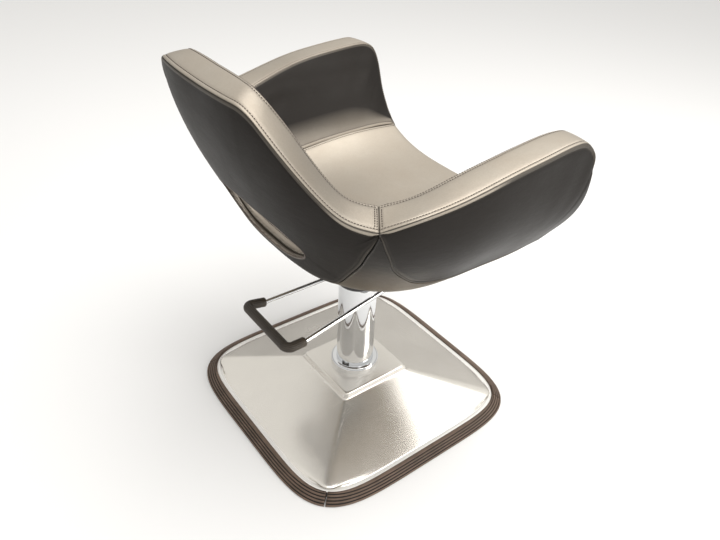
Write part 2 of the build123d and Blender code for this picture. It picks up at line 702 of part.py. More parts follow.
with BuildPart() as back_cross_bar:
    with BuildSketch(Plane.XZ.offset(-250)):
        with Locations((0, 655)):
            RectangleRounded(298, 34, 4)
    extrude(amount=-BAR_THICK)
export(back_cross_bar.part, "back_cross_bar")

# ================================================================ tub: padding
with BuildPart() as backrest_pad:
    add(outer_form)
    add(cavity_form, mode=Mode.SUBTRACT)
    add(back_space.part, mode=Mode.INTERSECT)
    add(slot_cut, mode=Mode.SUBTRACT)
    add(bottom_shell.part, mode=Mode.SUBTRACT)
    for bar in (*back_bars, back_cross_bar.part):
        add(bar, mode=Mode.SUBTRACT)
export(backrest_pad.part, "backrest_pad")

# Top of the seat: hollow in the middle and rising to the arm seams.
SEAT_ROWS = [(FRONT_Y - 5, SEAT_FRONT_Z), (-33, 488.0), (110, 480.0), (260, 468.0)]
with BuildPart() as above_seat:
    for y, middle_z in SEAT_ROWS:
        rise = SEAT_SIDE_RISE * (y < 200)
        with BuildSketch(Plane.XZ.offset(-y)):
            with BuildLine():
                top = Spline(
                    (-SEAT_HALF - 1, middle_z + rise), (-120, middle_z + rise * 0.25), (0, middle_z),
                    (120, middle_z + rise * 0.25), (SEAT_HALF + 1, middle_z + rise),
                )
                Polyline(top @ 1, (SEAT_HALF + 1, 800), (-SEAT_HALF - 1, 800), top @ 0)
            make_face()
    loft(ruled=True)

with BuildPart() as seat_pad:
    with BuildSketch(Plane.XY.offset(SHELL_BOTTOM_Z)):
        with BuildLine():
            Polyline(
                (-SEAT_HALF, FRONT_Y), (SEAT_HALF, FRONT_Y), (SEAT_HALF, 120), (140, SEAT_REAR_Y),
                (-140, SEAT_REAR_Y), (-SEAT_HALF, 120), close=True,
            )
        make_face()
    extrude(amount=150)
    add(lining.part, mode=Mode.INTERSECT)
    add(above_seat.part, mode=Mode.SUBTRACT)
    add(seat_board.part, mode=Mode.SUBTRACT)
    add(tee_nuts.part, mode=Mode.SUBTRACT)
    add(seat_bolts.part, mode=Mode.SUBTRACT)
    for piece in (bottom_shell.part, backrest_pad.part, *arm_bars, *back_bars):
        add(piece, mode=Mode.SUBTRACT)
export(seat_pad.part, "seat_pad")

for side, sign in (("left", 1), ("right", -1)):
    with BuildPart() as arm_pad:
        add(outer_form)
        with BuildSketch(Plane.XY.offset(board_top)):
            with BuildLine():
                Polyline(
                    (sign * SEAT_HALF, FRONT_Y), (sign * 360, FRONT_Y),
                    (sign * CORNER_OUT[0] * 1.2, CORNER_OUT[1] + 0.2 * CORNER_OUT[0] / corner_slope),
                    (sign * SEAT_HALF, CORNER_IN[1] - (CORNER_IN[0] - SEAT_HALF) / corner_slope), close=True,
                )
            make_face()
        extrude(amount=300, mode=Mode.INTERSECT)
        add(cavity_form, mode=Mode.SUBTRACT)
        add(above_arms.part, mode=Mode.SUBTRACT)
        for piece in (bottom_shell.part, seat_pad.part, *arm_bars, *back_bars):
            add(piece, mode=Mode.SUBTRACT)
        add(backrest_pad.part, mode=Mode.SUBTRACT)
    export(arm_pad.part, f"arm_pad_{side}")
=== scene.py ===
"""Looks of the salon styling chair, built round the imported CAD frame.

The upholstery is made from rails: smooth lines along the rims and seams of the tub.  Strips of
leather run between two rails, lie on the tub's outer or inner form, and carry the small shapes
beside a seam, such as a rolled edge or a stitched valley.  Lengths are millimetres until a mesh
is made.  The left side is +X, and the right side is its mirror image.
"""

import json
import math

import bmesh
import bpy
import numpy as np
from mathutils import Matrix, Vector


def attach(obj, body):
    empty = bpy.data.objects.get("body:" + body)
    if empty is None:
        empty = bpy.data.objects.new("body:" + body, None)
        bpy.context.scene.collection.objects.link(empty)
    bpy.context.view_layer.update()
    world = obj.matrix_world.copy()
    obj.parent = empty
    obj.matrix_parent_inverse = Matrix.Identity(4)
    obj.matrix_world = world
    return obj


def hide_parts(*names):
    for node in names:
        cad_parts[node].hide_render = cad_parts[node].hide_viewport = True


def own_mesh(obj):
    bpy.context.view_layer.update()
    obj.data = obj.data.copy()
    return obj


MM = 0.001
WELD_GAP = 0.02 * MM
MIRROR = np.array([-1.0, 1.0, 1.0])

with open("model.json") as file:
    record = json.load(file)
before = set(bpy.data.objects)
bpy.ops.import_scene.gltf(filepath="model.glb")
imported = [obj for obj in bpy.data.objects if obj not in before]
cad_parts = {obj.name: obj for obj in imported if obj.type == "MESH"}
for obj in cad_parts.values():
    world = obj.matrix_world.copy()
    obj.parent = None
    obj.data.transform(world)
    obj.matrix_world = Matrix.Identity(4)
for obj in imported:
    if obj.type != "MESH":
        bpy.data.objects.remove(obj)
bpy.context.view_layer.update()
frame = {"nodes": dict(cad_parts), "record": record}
scene = bpy.context.scene


def even(count):
    """Even shares from 0 to 1."""
    return np.linspace(0, 1, count)


def join(*parts):
    return np.concatenate(parts)


def add_object(name, data):
    made = bpy.data.objects.new(name, data)
    scene.collection.objects.link(made)
    return made


def made_object(name, work, materials):
    """An object from a bmesh, with its faces turned outwards."""
    bmesh.ops.recalc_face_normals(work, faces=work.faces)
    mesh = bpy.data.meshes.new(name)
    work.to_mesh(mesh)
    work.free()
    for material in materials:
        mesh.materials.append(material)
    return add_object(name, mesh)


# ======== curves and forms
def natural_spline(knots, values):
    """Natural cubic through values at knots, as a function of the knot coordinate."""
    x, y = np.asarray(knots, float), np.asarray(values, float)
    h, n = np.diff(x), len(x)
    system, right = np.eye(n), np.zeros_like(y)
    for i in range(1, n - 1):
        system[i, i - 1:i + 2] = h[i - 1], 2 * (h[i - 1] + h[i]), h[i]
        right[i] = 6 * ((y[i + 1] - y[i]) / h[i] - (y[i] - y[i - 1]) / h[i - 1])
    bend = np.linalg.solve(system, right)

    def at(t):
        t = np.clip(np.asarray(t, float), x[0], x[-1])
        i = np.clip(np.searchsorted(x, t, side="right") - 1, 0, n - 2)
        column = (slice(None),) + (None,) * (y.ndim - 1) if t.ndim else ()
        to_next, since, span = (x[i + 1] - t)[column], (t - x[i])[column], h[i][column]
        cubic = (bend[i] * to_next ** 3 + bend[i + 1] * since ** 3) / (6 * span)
        low = (y[i] / span - bend[i] * span / 6) * to_next
        high = (y[i + 1] / span - bend[i + 1] * span / 6) * since
        return cubic + low + high

    return at


def arc_length(points):
    return join([0.0], np.cumsum(np.linalg.norm(np.diff(points, axis=0), axis=1)))


def smooth_line(points, fine=400):
    """A dense smooth line through the points."""
    points = np.asarray(points, float)
    s = arc_length(points)
    return natural_spline(s, points)(np.linspace(0, s[-1], fine))


def along(line, shares):
    """Points at the given shares of a dense line's length."""
    s = arc_length(line)
    return np.stack([np.interp(np.asarray(shares) * s[-1], s, line[:, k]) for k in range(3)], axis=1)


def rounded_corner(before, corner, after):
    """Quadratic arc from before to after with the corner as its control point."""
    t = even(40)[:, None]
    a, b, c = (np.asarray(p, float) for p in (before, corner, after))
    return (1 - t) ** 2 * a + 2 * t * (1 - t) * b + t ** 2 * c


def unit(vectors):
    return vectors / np.maximum(np.linalg.norm(vectors, axis=-1, keepdims=True), 1e-9)


class Form:
    """A tub form: level outlines with straight sides ahead of a centre and a superellipse behind it."""

    def __init__(self, rows, centre):
        rows = np.array(rows, float)
        self.centre = centre
        self.half = natural_spline(rows[:, 0], rows[:, 1])
        self.rear = natural_spline(rows[:, 0], rows[:, 2])
        self.power = natural_spline(rows[:, 0], rows[:, 3])

    def radius(self, p):
        """1 on the form, less inside and more outside."""
        half, power = self.half(p[..., 2]), self.power(p[..., 2])
        reach = self.rear(p[..., 2]) - self.centre
        side = np.abs(p[..., 0]) / half
        back = np.maximum(p[..., 1] - self.centre, 0) / reach
        return (side ** power + back ** power) ** (1 / power)

    def project(self, p):
        """Moves points level onto the form, away from or towards its centre line."""
        p = np.array(p, float)
        r = np.maximum(self.radius(p), 1e-6)
        p[..., 0] = p[..., 0] / r
        behind = p[..., 1] > self.centre
        p[..., 1] = np.where(behind, self.centre + (p[..., 1] - self.centre) / r, p[..., 1])
        return p

    def normal(self, p):
        """Unit direction out of the form."""
        p, step = np.asarray(p, float), 0.5
        slopes = []
        for axis in range(3):
            shift = np.zeros(3)
            shift[axis] = step
            slopes.append(self.radius(p + shift) - self.radius(p - shift))
        return unit(np.stack(slopes, axis=-1))


# Rows of a form: height, half-width, rear reach and power of the superellipse.
OUTER_POWER = 2.7
OUTER = Form([(*row, OUTER_POWER) for row in (
    (395, 140.7, 121.3), (430, 234.9, 181.3), (470, 278.3, 211.7), (520, 315, 237.3),
    (580, 342.7, 267.1), (650, 347.1, 297.6), (720, 343.4, 320.1), (800, 326.3, 335.5),
)], centre=-33)
INNER = Form([
    (470, 100, 160, 4), (490, 130, 172, 4), (540, 209, 195, 4), (575, 231, 209, 4),
    (602, 245, 220, 4), (640, 258, 233, 4), (660, 268, 240, 3.4), (690, 286, 251, 3.0),
    (740, 280, 268, 2.8), (810, 284, 291, 2.8),
], centre=0)

# ======== rails of the tub
FRONT_Y = -232.0
TIP_FOOT_Z = 640              # where the arm's tip turns into its straight front
ARM_FOOT_Z = 454              # the lower front corner of the arm
CORNER_OUT = (286.0, 186.0, 616.0)
CORNER_IN = (241.5, 154.0, 632.0)


def from_seam(count, length):
    """Shares of a length: close stations beside the cross seam where it starts, then even ones."""
    close = np.array([0, 1.2, 2.6, 5.0, 7.0, 9.5]) / length
    return join(close, np.linspace(close[-1], 1, count)[1:])


# Arm rim: along the top from the corner to the tip, round the tip, then down the front.
arm_top_out = smooth_line([
    CORNER_OUT, (313.5, 142, 636.5), (333, 64, 655), (341.5, -35, 676.5), (342, -129, 689),
    (341, -185, 694), (341.5, -207, 692), (342, -222, 682), (344, -231, 669), (346, FRONT_Y, TIP_FOOT_Z),
])
arm_front_out = np.array([
    (OUTER.half(z), FRONT_Y, z) for z in np.linspace(TIP_FOOT_Z, ARM_FOOT_Z, 60)
])
arm_under = smooth_line([(x, FRONT_Y, z) for x, z in (
    (float(OUTER.half(ARM_FOOT_Z)), ARM_FOOT_Z), (255, 452.5), (235, 443), (213, 435.5), (190, 434.5),
)], 40)
arm_top_in = smooth_line([
    CORNER_IN, (260, 109, 641), (273, 41, 661), (281, -41, 681), (281, -130, 692.5),
    (282, -188, 696), (282.5, -212, 693), (279, -226, 684.5), (272, -231, 670), (262, -232, 650),
])
arm_front_in = smooth_line([
    (x, FRONT_Y, z) for x, z in ((262, 650), (253, 625), (245, 602), (230, 574), (203, 539), (190, 529))
])

# Inner corner line between arm and back, then the seam between arm and seat.
inner_corner = smooth_line([CORNER_IN, (227, 152, 602), (213, 151, 575), (193, 140, 540), (160, 122, 505)])
seat_seam = smooth_line([
    (160, 122, 505), (180, 90, 512), (188, 50, 519), (190, 8, 524), (190, -52, 530),
    (190, -132, 534), (190, -200, 533), (190, -232, 529),
])

# Outer seams over the bottom shell.
arm_seam = OUTER.project(smooth_line([
    CORNER_OUT, (289.5, 178, 587), (285, 162, 556), (280, 152, 537), (277, 137, 519), (273, 115, 498),
    (270, 101, 487), (269.5, 84, 478), (270, 66, 472), (271, 42, 467), (270, 8, 459), (267, -40, 455),
    (267, -150, ARM_FOOT_Z), (267, FRONT_Y, ARM_FOOT_Z),
]))
back_seam = OUTER.project(smooth_line([
    CORNER_OUT, (279, 190, 590), (267, 191, 569), (255, 189, 549), (230, 185, 517), (202, 180, 485),
    (171, 174, 455), (120, 169.5, 438), (60, 166, 431.5), (0, 165, 430),
]))
back_seam[-1, 0] = 0

# Back rim: up the side from the corner, round the top corner, and across to the middle.
back_side_out = smooth_line([
    CORNER_OUT, (260, 227, 633), (232, 256, 665), (187, 295, 730), (137, 319, 783),
])
back_side_in = smooth_line([CORNER_IN, (216, 196, 648), (190, 219, 677), (148, 250, 740), (113, 282, 797)])
back_top_out = OUTER.project(smooth_line([
    (137, 319, 783), (100, 328, 785), (50, 332, 786), (0, 333, 786),
]))
back_top_in = smooth_line([(113, 282, 797), (75, 283, 800), (38, 283.5, 801), (0, 284, 801)])

# Slot through the lower back, on the outside and on the inside, from its end to the middle.
SLOT_END = (138.5, 222, 511)
slot_above = OUTER.project(smooth_line([
    SLOT_END, (138, 224, 518), (129, 235, 532), (106, 249, 549), (65, 254, 558), (0, 258, 562),
]))
slot_below = OUTER.project(smooth_line([
    SLOT_END, (134, 219, 503), (120, 215, 491), (90, 211.5, 477), (60, 209.5, 469), (0, 210, 466),
]))
slot_to_corner = OUTER.project(smooth_line([
    SLOT_END, (170, 222, 530), (220, 212, 563), (262, 201, 594), CORNER_OUT,
]))
SLOT_END_IN = (138, 150, 503)
SLOT_MIDDLE = np.array([0, 225, 512.0])
slot_above_in = smooth_line([SLOT_END_IN, (136, 163, 522), (118, 184, 541), (66, 200, 555), (0, 203, 560)])
slot_floor_in = smooth_line([SLOT_END_IN, (126, 172, 492), (90, 178, 472), (60, 182, 464), (0, 186, 460)])
seat_contact = smooth_line([(160, 122, 505), (150, 136, 502), SLOT_END_IN], 60)


# ======== strips between rails
def spread_rows(length, near_a, near_b, inner):
    """Where the rows of a strip lie, as shares of its width per column, with heights and shades.

    near_a and near_b are (distance from the rail, height, shade) of the rows beside each rail.
    Where the strip is narrower than they need, they squeeze together.
    """
    room = near_a[-1][0] + near_b[-1][0] + 4.0
    squeeze = np.minimum(1.0, length / room)
    safe = np.maximum(length, 1e-6)
    start, end = near_a[-1][0] * squeeze / safe, 1 - near_b[-1][0] * squeeze / safe
    rows = [(np.zeros_like(length), 0.0, near_a[0][2])]
    rows += [(distance * squeeze / safe, height, shade) for distance, height, shade in near_a]
    for i in range(1, inner):
        t = i / inner
        level = near_a[-1][1] * (1 - t) + near_b[-1][1] * t
        rows.append((start + (end - start) * t, level, near_a[-1][2] * (1 - t) + near_b[-1][2] * t))
    rows += [
        (1 - distance * squeeze / safe, height, shade) for distance, height, shade in reversed(near_b)
    ]
    rows.append((np.ones_like(length), 0.0, near_b[0][2]))
    shares = np.array([row[0] for row in rows])
    flat = length < 0.5
    shares[:, flat] = even(len(shares))[:, None]
    return shares, np.array([row[1] for row in rows]), np.array([row[2] for row in rows]), squeeze


def strip(a, b, near_a, near_b, inner, form=None, *, sunk, side=1, crown=0.0, cross=0.0, fade_a=1.0,
          fade_b=1.0):
    """Grid of points and shades between rails a and b, whose rows run along the rails.

    The strip lies on a form, or straight between the rails, and its first and last rows are the
    sunk rails.  side is -1 where it faces the other way.  The fades weaken the seam profiles
    column by column.
    """
    length = np.linalg.norm(b - a, axis=1)
    shares, heights, shades, squeeze = spread_rows(length, near_a, near_b, inner)
    heights, shades = (np.repeat(rows[:, None], len(length), axis=1) for rows in (heights, shades))
    for rows, fade, plain in (
        (slice(0, len(near_a) + 1), fade_a, near_a[-1][2]),
        (slice(-len(near_b) - 1, None), fade_b, near_b[-1][2]),
    ):
        heights[rows] *= fade
        shades[rows] = plain + (shades[rows] - plain) * fade
    t = shares[..., None]
    grid = a + t * (b - a)
    if form is None:
        out = np.broadcast_to(rim_frames(a, b, side), grid.shape)
    else:
        base = form.project(grid)
        grid = base + (1 - t) * (a - form.project(a)) + t * (b - form.project(b))
        out = form.normal(base) * side
    rise = 4 * shares * (1 - shares)
    lift = (heights + crown * rise + cross * rise ** 0.25) * squeeze
    grid = grid + out * lift[..., None]
    level = (1 - t) * sunk[0] + t * sunk[1]
    grid = grid * squeeze[None, :, None] + level * (1 - squeeze)[None, :, None]
    grid[0], grid[-1] = sunk
    return grid, shades


def plain_strip(a, b, inner):
    """A strip that runs straight between two rails, with no seam beside them."""
    return strip(a, b, PLAIN, PLAIN, inner, sunk=(a, b))


def one_tone(points, shade=0.0, index=0):
    """A grid with one shade all over."""
    return points, np.full(points.shape[:2], shade), index


def weld(name, grids, materials):
    """One piece from grids of points, joined where their edges meet.

    Each grid is (points, shades, material index).
    """
    work = bmesh.new()
    shade_layer = work.verts.layers.float.new("shade")
    for points, shades, index in grids:
        rows, columns = points.shape[:2]
        made = []
        for point, shade in zip(points.reshape(-1, 3) * MM, np.ravel(shades)):
            made.append(work.verts.new(point))
            made[-1][shade_layer] = float(shade)
        for i in range(rows - 1):
            for first in range(i * columns, i * columns + columns - 1):
                above = first + columns
                face = work.faces.new((made[first], made[first + 1], made[above + 1], made[above]))
                face.material_index = index
                face.smooth = True
    bmesh.ops.remove_doubles(work, verts=work.verts, dist=WELD_GAP)
    bmesh.ops.dissolve_degenerate(work, edges=work.edges, dist=WELD_GAP)
    return made_object(name, work, materials)


def mirrored(grids):
    return [(points * MIRROR, shades, index) for points, shades, index in grids]


# ======== materials
def bare_material(name):
    material = bpy.data.materials.new(name)
    material.use_nodes = True
    return material, material.node_tree.nodes["Principled BSDF"]


def new_material(name):
    """A material with its shader, and its coordinates in object space."""
    material, shader = bare_material(name)
    return material, shader, new_node(shader, "ShaderNodeTexCoord", {}).outputs["Object"]


def give(node, inputs):
    """Sets a node's inputs by name: a socket is linked, and anything else is the value."""
    for key, value in inputs.items():
        if isinstance(value, bpy.types.NodeSocket):
            node.id_data.links.new(value, node.inputs[key])
        else:
            node.inputs[key].default_value = value


def new_node(beside, kind, inputs):
    """A node in the tree that a socket or node is in."""
    made = beside.id_data.nodes.new(kind)
    give(made, inputs)
    return made


def noise(place, scale, detail=4.0, roughness=0.5, stretch=(1, 1, 1)):
    """Noise in object space, in features per metre."""
    mapping = new_node(place, "ShaderNodeMapping", {"Scale": stretch, "Vector": place})
    return new_node(place, "ShaderNodeTexNoise", {
        "Scale": scale, "Detail": detail, "Roughness": roughness, "Vector": mapping.outputs["Vector"],
    }).outputs["Fac"]


def ramp(factor, stops):
    made = new_node(factor, "ShaderNodeValToRGB", {"Fac": factor})
    while len(made.color_ramp.elements) < len(stops):
        made.color_ramp.elements.new(0.5)
    for element, (position, colour) in zip(made.color_ramp.elements, stops):
        element.position = position
        element.color = (*colour, 1)
    return made.outputs["Color"]


def mix(factor, a, b, blend="MIX"):
    """Colours a and b mixed.  The factor or a is a socket."""
    socket = next(value for value in (factor, a) if isinstance(value, bpy.types.NodeSocket))
    made = new_node(socket, "ShaderNodeMix", {})
    made.data_type = "RGBA"
    made.blend_type = blend
    a, b = ((*value, 1) if isinstance(value, tuple) else value for value in (a, b))
    give(made, {"Factor": factor, 6: a, 7: b})
    return made.outputs[2]


def spread(factor, low, high):
    """A 0 to 1 factor spread from low to high."""
    return new_node(factor, "ShaderNodeMapRange", {
        "To Min": low, "To Max": high, "Value": factor,
    }).outputs["Result"]


def bump(height, strength, distance, below=None):
    made = new_node(height, "ShaderNodeBump", {
        "Strength": strength, "Distance": distance, "Height": height,
    })
    if below is not None:
        give(made, {"Normal": below})
    return made.outputs["Normal"]


def shade_of(shader):
    """The shade that the meshes carry, from 0 to 1."""
    made = new_node(shader, "ShaderNodeAttribute", {})
    made.attribute_name = "shade"
    return made.outputs["Fac"]


def tinted(colour, factor):
    return tuple(factor * c for c in colour)


def leather(name, light, dark, roughness=0.38, metallic=0.6, pebble=0.18, sheen=0.08, specular=0.5):
    """Coated metallic leather: the shade attribute runs from the light tone to the dark one, which paints
    shade.
    """
    material, shader, place = new_material(name)
    cloud = noise(place, 14, 5, 0.6)
    base = mix(shade_of(shader), light, dark)
    clouded = mix(spread(cloud, 0.0, 0.35), base, (0.30, 0.23, 0.17), "OVERLAY")
    speck = ramp(noise(place, 420, 3, 0.6), [(0.35, (0.93, 0.93, 0.93)), (0.65, (1.0, 1.0, 1.0))])
    cells = new_node(place, "ShaderNodeTexVoronoi", {})
    cells.feature = "DISTANCE_TO_EDGE"
    give(cells, {"Scale": 620, "Vector": place})
    grain = bump(cells.outputs["Distance"], pebble, 0.0006)
    give(shader, {
        "Base Color": mix(1.0, clouded, speck, "MULTIPLY"),
        "Roughness": spread(cloud, roughness - 0.07, roughness + 0.08),
        "Metallic": metallic, "Specular IOR Level": specular,
        "Sheen Weight": sheen, "Sheen Roughness": 0.4,
        "Normal": bump(noise(place, 45, 4, 0.55, (1, 1, 2.2)), 0.10, 0.004, grain),
    })
    return material


def thread(name, colour):
    material, shader, place = new_material(name)
    twist = noise(place, 1500, 2)
    give(shader, {
        "Base Color": ramp(twist, [(0.3, tinted(colour, 0.6)), (0.7, colour)]),
        "Roughness": 0.7, "Normal": bump(twist, 0.4, 0.0003),
    })
    return material


def rubber(name, colour, roughness=0.55):
    """Moulded rubber with a fine tooth and dusty patches; the shade attribute paints shade into its
    grooves.
    """
    material, shader, place = new_material(name)
    dust = noise(place, 30, 6, 0.65)
    dusty = ramp(dust, [(0.35, colour), (0.75, tuple(min(1, 1.7 * c + 0.01) for c in colour))])
    give(shader, {
        "Base Color": mix(shade_of(shader), dusty, (0.006, 0.005, 0.004)),
        "Roughness": spread(dust, roughness - 0.1, roughness + 0.15),
        "Normal": bump(noise(place, 900, 2), 0.25, 0.0004),
    })
    return material


def metal(name, colour, roughness, wear=0.06, brushed=None, metallic=1.0):
    """Bare or plated metal: a faint haze, and brushing along one axis if asked."""
    material, shader, place = new_material(name)
    haze = noise(place, 9, 6, 0.6)
    give(shader, {
        "Base Color": ramp(haze, [(0.3, tinted(colour, 0.93)), (0.7, colour)]),
        "Roughness": spread(haze, max(0.02, roughness - wear), roughness + wear),
        "Metallic": metallic,
    })
    if brushed:
        give(shader, {"Normal": bump(noise(place, 260, 3, 0.5, brushed), 0.08, 0.0004)})
    return material


def painted(name, colour, roughness=0.5):
    """Powder coat or painted casting with an orange-peel skin."""
    material, shader, place = new_material(name)
    give(shader, {
        "Base Color": ramp(noise(place, 22, 4), [(0.3, tinted(colour, 0.8)), (0.7, tinted(colour, 1.15))]),
        "Roughness": roughness, "Normal": bump(noise(place, 700, 2), 0.3, 0.0005),
    })
    return material


def plywood(name):
    material, shader, place = new_material(name)
    grain = noise(place, 28, 6, 0.6, (1, 9, 9))
    plies = new_node(place, "ShaderNodeTexWave", {"Scale": 115, "Vector": place})
    plies.bands_direction = "Z"
    wood = ramp(grain, [(0.3, (0.42, 0.28, 0.15)), (0.7, (0.62, 0.46, 0.28))])
    give(shader, {
        "Base Color": mix(0.35, wood, plies.outputs["Color"], "MULTIPLY"),
        "Roughness": 0.65, "Normal": bump(grain, 0.2, 0.0005),
    })
    return material


# DARK_TONE is painted shade, which the shade attribute mixes in over seam grooves, stitch valleys and the
# leather that faces away from the light.
LIGHT_TONE = (0.50, 0.455, 0.388)
DARK_TONE = (0.020, 0.0175, 0.0155)
BRONZE_TONE = (0.17, 0.138, 0.098)
upholstery = leather("taupe_leather", LIGHT_TONE, DARK_TONE, 0.44)
# panel_leather and back_leather are shaded copies of the leather, with less metal, sheen and specular so
# that they look darker; they carry the painted shade of the outer panels and inner faces, darkest on the
# back.
panel_leather = leather("panel_leather", LIGHT_TONE, DARK_TONE, 0.45, 0.35, 0.14, 0.0, 0.22)
back_leather = leather("back_leather", LIGHT_TONE, DARK_TONE, 0.5, 0.1, 0.14, 0.0, 0.1)
shell_leather = leather("bronze_leather", BRONZE_TONE, DARK_TONE, 0.42, 0.45, 0.14, 0.0, 0.3)
edging = leather("edging_leather", (0.16, 0.115, 0.09), (0.03, 0.022, 0.018), 0.5, 0.1)
stitch_thread = thread("stitch_thread", (0.040, 0.024, 0.018))
trim_rubber = rubber("trim_rubber", (0.105, 0.070, 0.050))
grip_rubber = rubber("grip_rubber", (0.040, 0.029, 0.018), 0.5)
pad_rubber = rubber("pad_rubber", (0.02, 0.02, 0.02))
seal_rubber = rubber("seal_rubber", (0.012, 0.012, 0.012), 0.35)
steel_cover = metal("polished_stainless", (0.86, 0.825, 0.765), 0.25, 0.06, metallic=0.8)
# cover_rim is a painted reflection: paler, rougher steel for the base's flat rim, standing in for the
# brighter light that it reflects
cover_rim = metal("cover_rim", (0.93, 0.91, 0.88), 0.5, metallic=0.5)
chrome = metal("chrome_plate", (0.80, 0.81, 0.82), 0.06, 0.03)
plain_steel = metal("machined_steel", (0.46, 0.46, 0.47), 0.34, 0.08, brushed=(1, 1, 12))
bronze = metal("sintered_bronze", (0.58, 0.40, 0.20), 0.42)
black_paint = painted("black_powder_coat", (0.03, 0.03, 0.032), 0.5)
casting = painted("painted_casting", (0.045, 0.045, 0.047), 0.45)
ply = plywood("birch_plywood")

CAD_MATERIALS = {
    "steel_cover": steel_cover, "chrome": chrome, "rubber": trim_rubber, "pad_rubber": pad_rubber,
    "steel": plain_steel, "painted_steel": black_paint, "cast_head": casting, "bronze": bronze,
    "seal": seal_rubber, "shell": shell_leather, "edging": edging, "plywood": ply,
    "upholstery": upholstery,
}
for sub in frame["record"]["subparts"]:
    materials = frame["nodes"][sub["node"]].data.materials
    materials.clear()
    materials.append(CAD_MATERIALS[sub["material_slot"]])

# ======== upholstery
# Rows beside a seam: distance from it, height and shade (0 is the light tone, 1 the dark one).
# The shades are painted shade: dark in seam grooves, stitch valleys and slot edges, and over the outer
# panels and inner faces that face away from the light; the rolled edge is left light where it catches the
# light.
BAND_EDGE_OUT = [(0.7, -0.6, 0.85), (1.6, 0.4, 0.1), (4.5, 0.9, 0.0), (6.6, 0.3, 0.02), (7.6, -0.35, 0.30),
                 (8.6, 0.3, 0.02), (12, 0.8, 0.0)]
BAND_EDGE_IN = [(0.7, -0.4, 0.65), (1.5, 0.3, 0.05), (3.0, 0.5, 0.0), (4.2, -0.2, 0.28), (5.2, 0.3, 0.0),
                (9, 0.6, 0.0)]
ROLL = [(0.7, 0.3, 0.85), (2.2, 1.7, 0.2), (4.2, 2.1, 0.2), (6.2, 1.5, 0.35), (7.8, -0.3, 0.8),
        (9.0, -0.2, 0.95), (12, 0.3, 1.0)]
PANEL_FOOT = [(0.8, -0.4, 1.0), (2.2, 0.9, 0.92), (4.6, 1.2, 0.9), (6.6, -0.2, 1.0), (8.4, 0.5, 0.97),
              (13, 0.3, 1.0)]
INNER_HEAD = [(0.7, -0.4, 0.6), (1.6, 0.4, 0.1), (2.6, 0.5, 0.15), (3.4, 0.0, 0.9), (4.4, 0.4, 0.75),
              (9, 0.8, 0.85)]
INNER_FOOT = [(0.8, -0.4, 0.3), (2.4, 0.8, 0.05), (4.6, 0.7, 0.08), (5.4, 0.3, 0.12), (6.4, 0.9, 0.05),
              (12, 0.9, 0.03)]
PLAIN = [(3.0, 0.0, 0.5)]
SLOT_EDGE = [(0.6, -0.4, 0.8), (1.4, 0.2, 0.45), (2.4, 0.4, 0.6), (3.6, 0.0, 1.0), (7, 0.0, 1.0)]
SHELL_EDGE = [(0.8, -0.3, 0.9), (2.2, 1.1, 0.35), (4.4, 1.3, 0.4), (6.6, 0.2, 0.95), (10, 0.0, 1.0)]
# Rows that hold topstitching, counted with the rails: two on a band, and two on an inner face.
STITCH_ROW_OUT, STITCH_ROW_IN = 5, -5
STITCH_ROW_PANEL, STITCH_ROW_FOOT = -4, 4
SEAM_COLUMN = 3               # the column that holds the topstitching beside a cross seam
TIP_Y = -150                  # ahead of this, an arm's lower seam follows its tip


def sink(rail, direction, depth):
    return rail + unit(direction) * depth


def cross_valley(distance):
    """Heights near a cross seam: a groove on the seam and a stitched valley beside it."""
    return -1.3 * np.exp(-(distance / 1.1) ** 2) - 0.5 * np.exp(-((distance - 5.0) / 0.9) ** 2)


def rim_frames(out_rim, in_rim, side):
    """Unit directions out of a band, along its rim."""
    tangent = unit(np.gradient((out_rim + in_rim) / 2, axis=0))
    return unit(np.cross(in_rim - out_rim, tangent)) * side


def fullness(rail):
    """How far the padding stands out under the front half of the arms."""
    return 3.0 * np.exp(-((rail[:, 1] + 130) / 60) ** 2)


def near_front(rail):
    """0 along the rail's rear, and 1 where it comes near the front."""
    return np.clip((rail[:, 1] + 170) / -55, 0, 1)


def sunk_seam(rail):
    """The rail of a seam on the outer form, sunk less near the front."""
    return sink(rail, -OUTER.normal(rail), (2.0 - 1.4 * near_front(rail))[:, None])


def in_shadow(grid, depth):
    """Shades of an inner face, which darken from its foot to just under its rim."""
    points, shades = grid
    rows = len(points)
    t = even(rows)[:, None]
    inside = np.arange(rows)[:, None] < rows - len(INNER_HEAD)
    return np.maximum(shades, depth * (0.3 + 0.7 * np.clip((t - 0.04) / 0.30, 0, 1)) * inside * (t > 0.03))


def shade_along_run(grid, run, marks, tones):
    """A grid with painted shade raised along its rows, by the tones at marks along its run."""
    points, shades = grid
    return points, np.maximum(shades, np.interp(run, marks, tones)[None, :])


def shaded_roll(grid, run, reach):
    """An outer panel whose light roll at the rim is painted into shade beyond its reach from the corner.
    """
    points, shades = grid
    shades = shades.copy()
    roll = shades[-len(ROLL) - 1:]
    roll += (0.85 - roll).clip(0) * np.clip((run - reach) / 40, 0, 1)
    return points, shades


def edge_stitches(band, inner, up):
    """Stitch lines along both edges of a band and along the head of its inner face."""
    head = inner[0][STITCH_ROW_PANEL]
    return [(band[0][STITCH_ROW_OUT], up), (band[0][STITCH_ROW_IN], up), (head, -INNER.normal(head))]


def seam_stitches(band, up, column):
    """A stitch line across a band, beside its cross seam."""
    line = band[0][len(BAND_EDGE_OUT) - 2:-4, column]
    return line, np.repeat(up[column][None], len(line), axis=0)


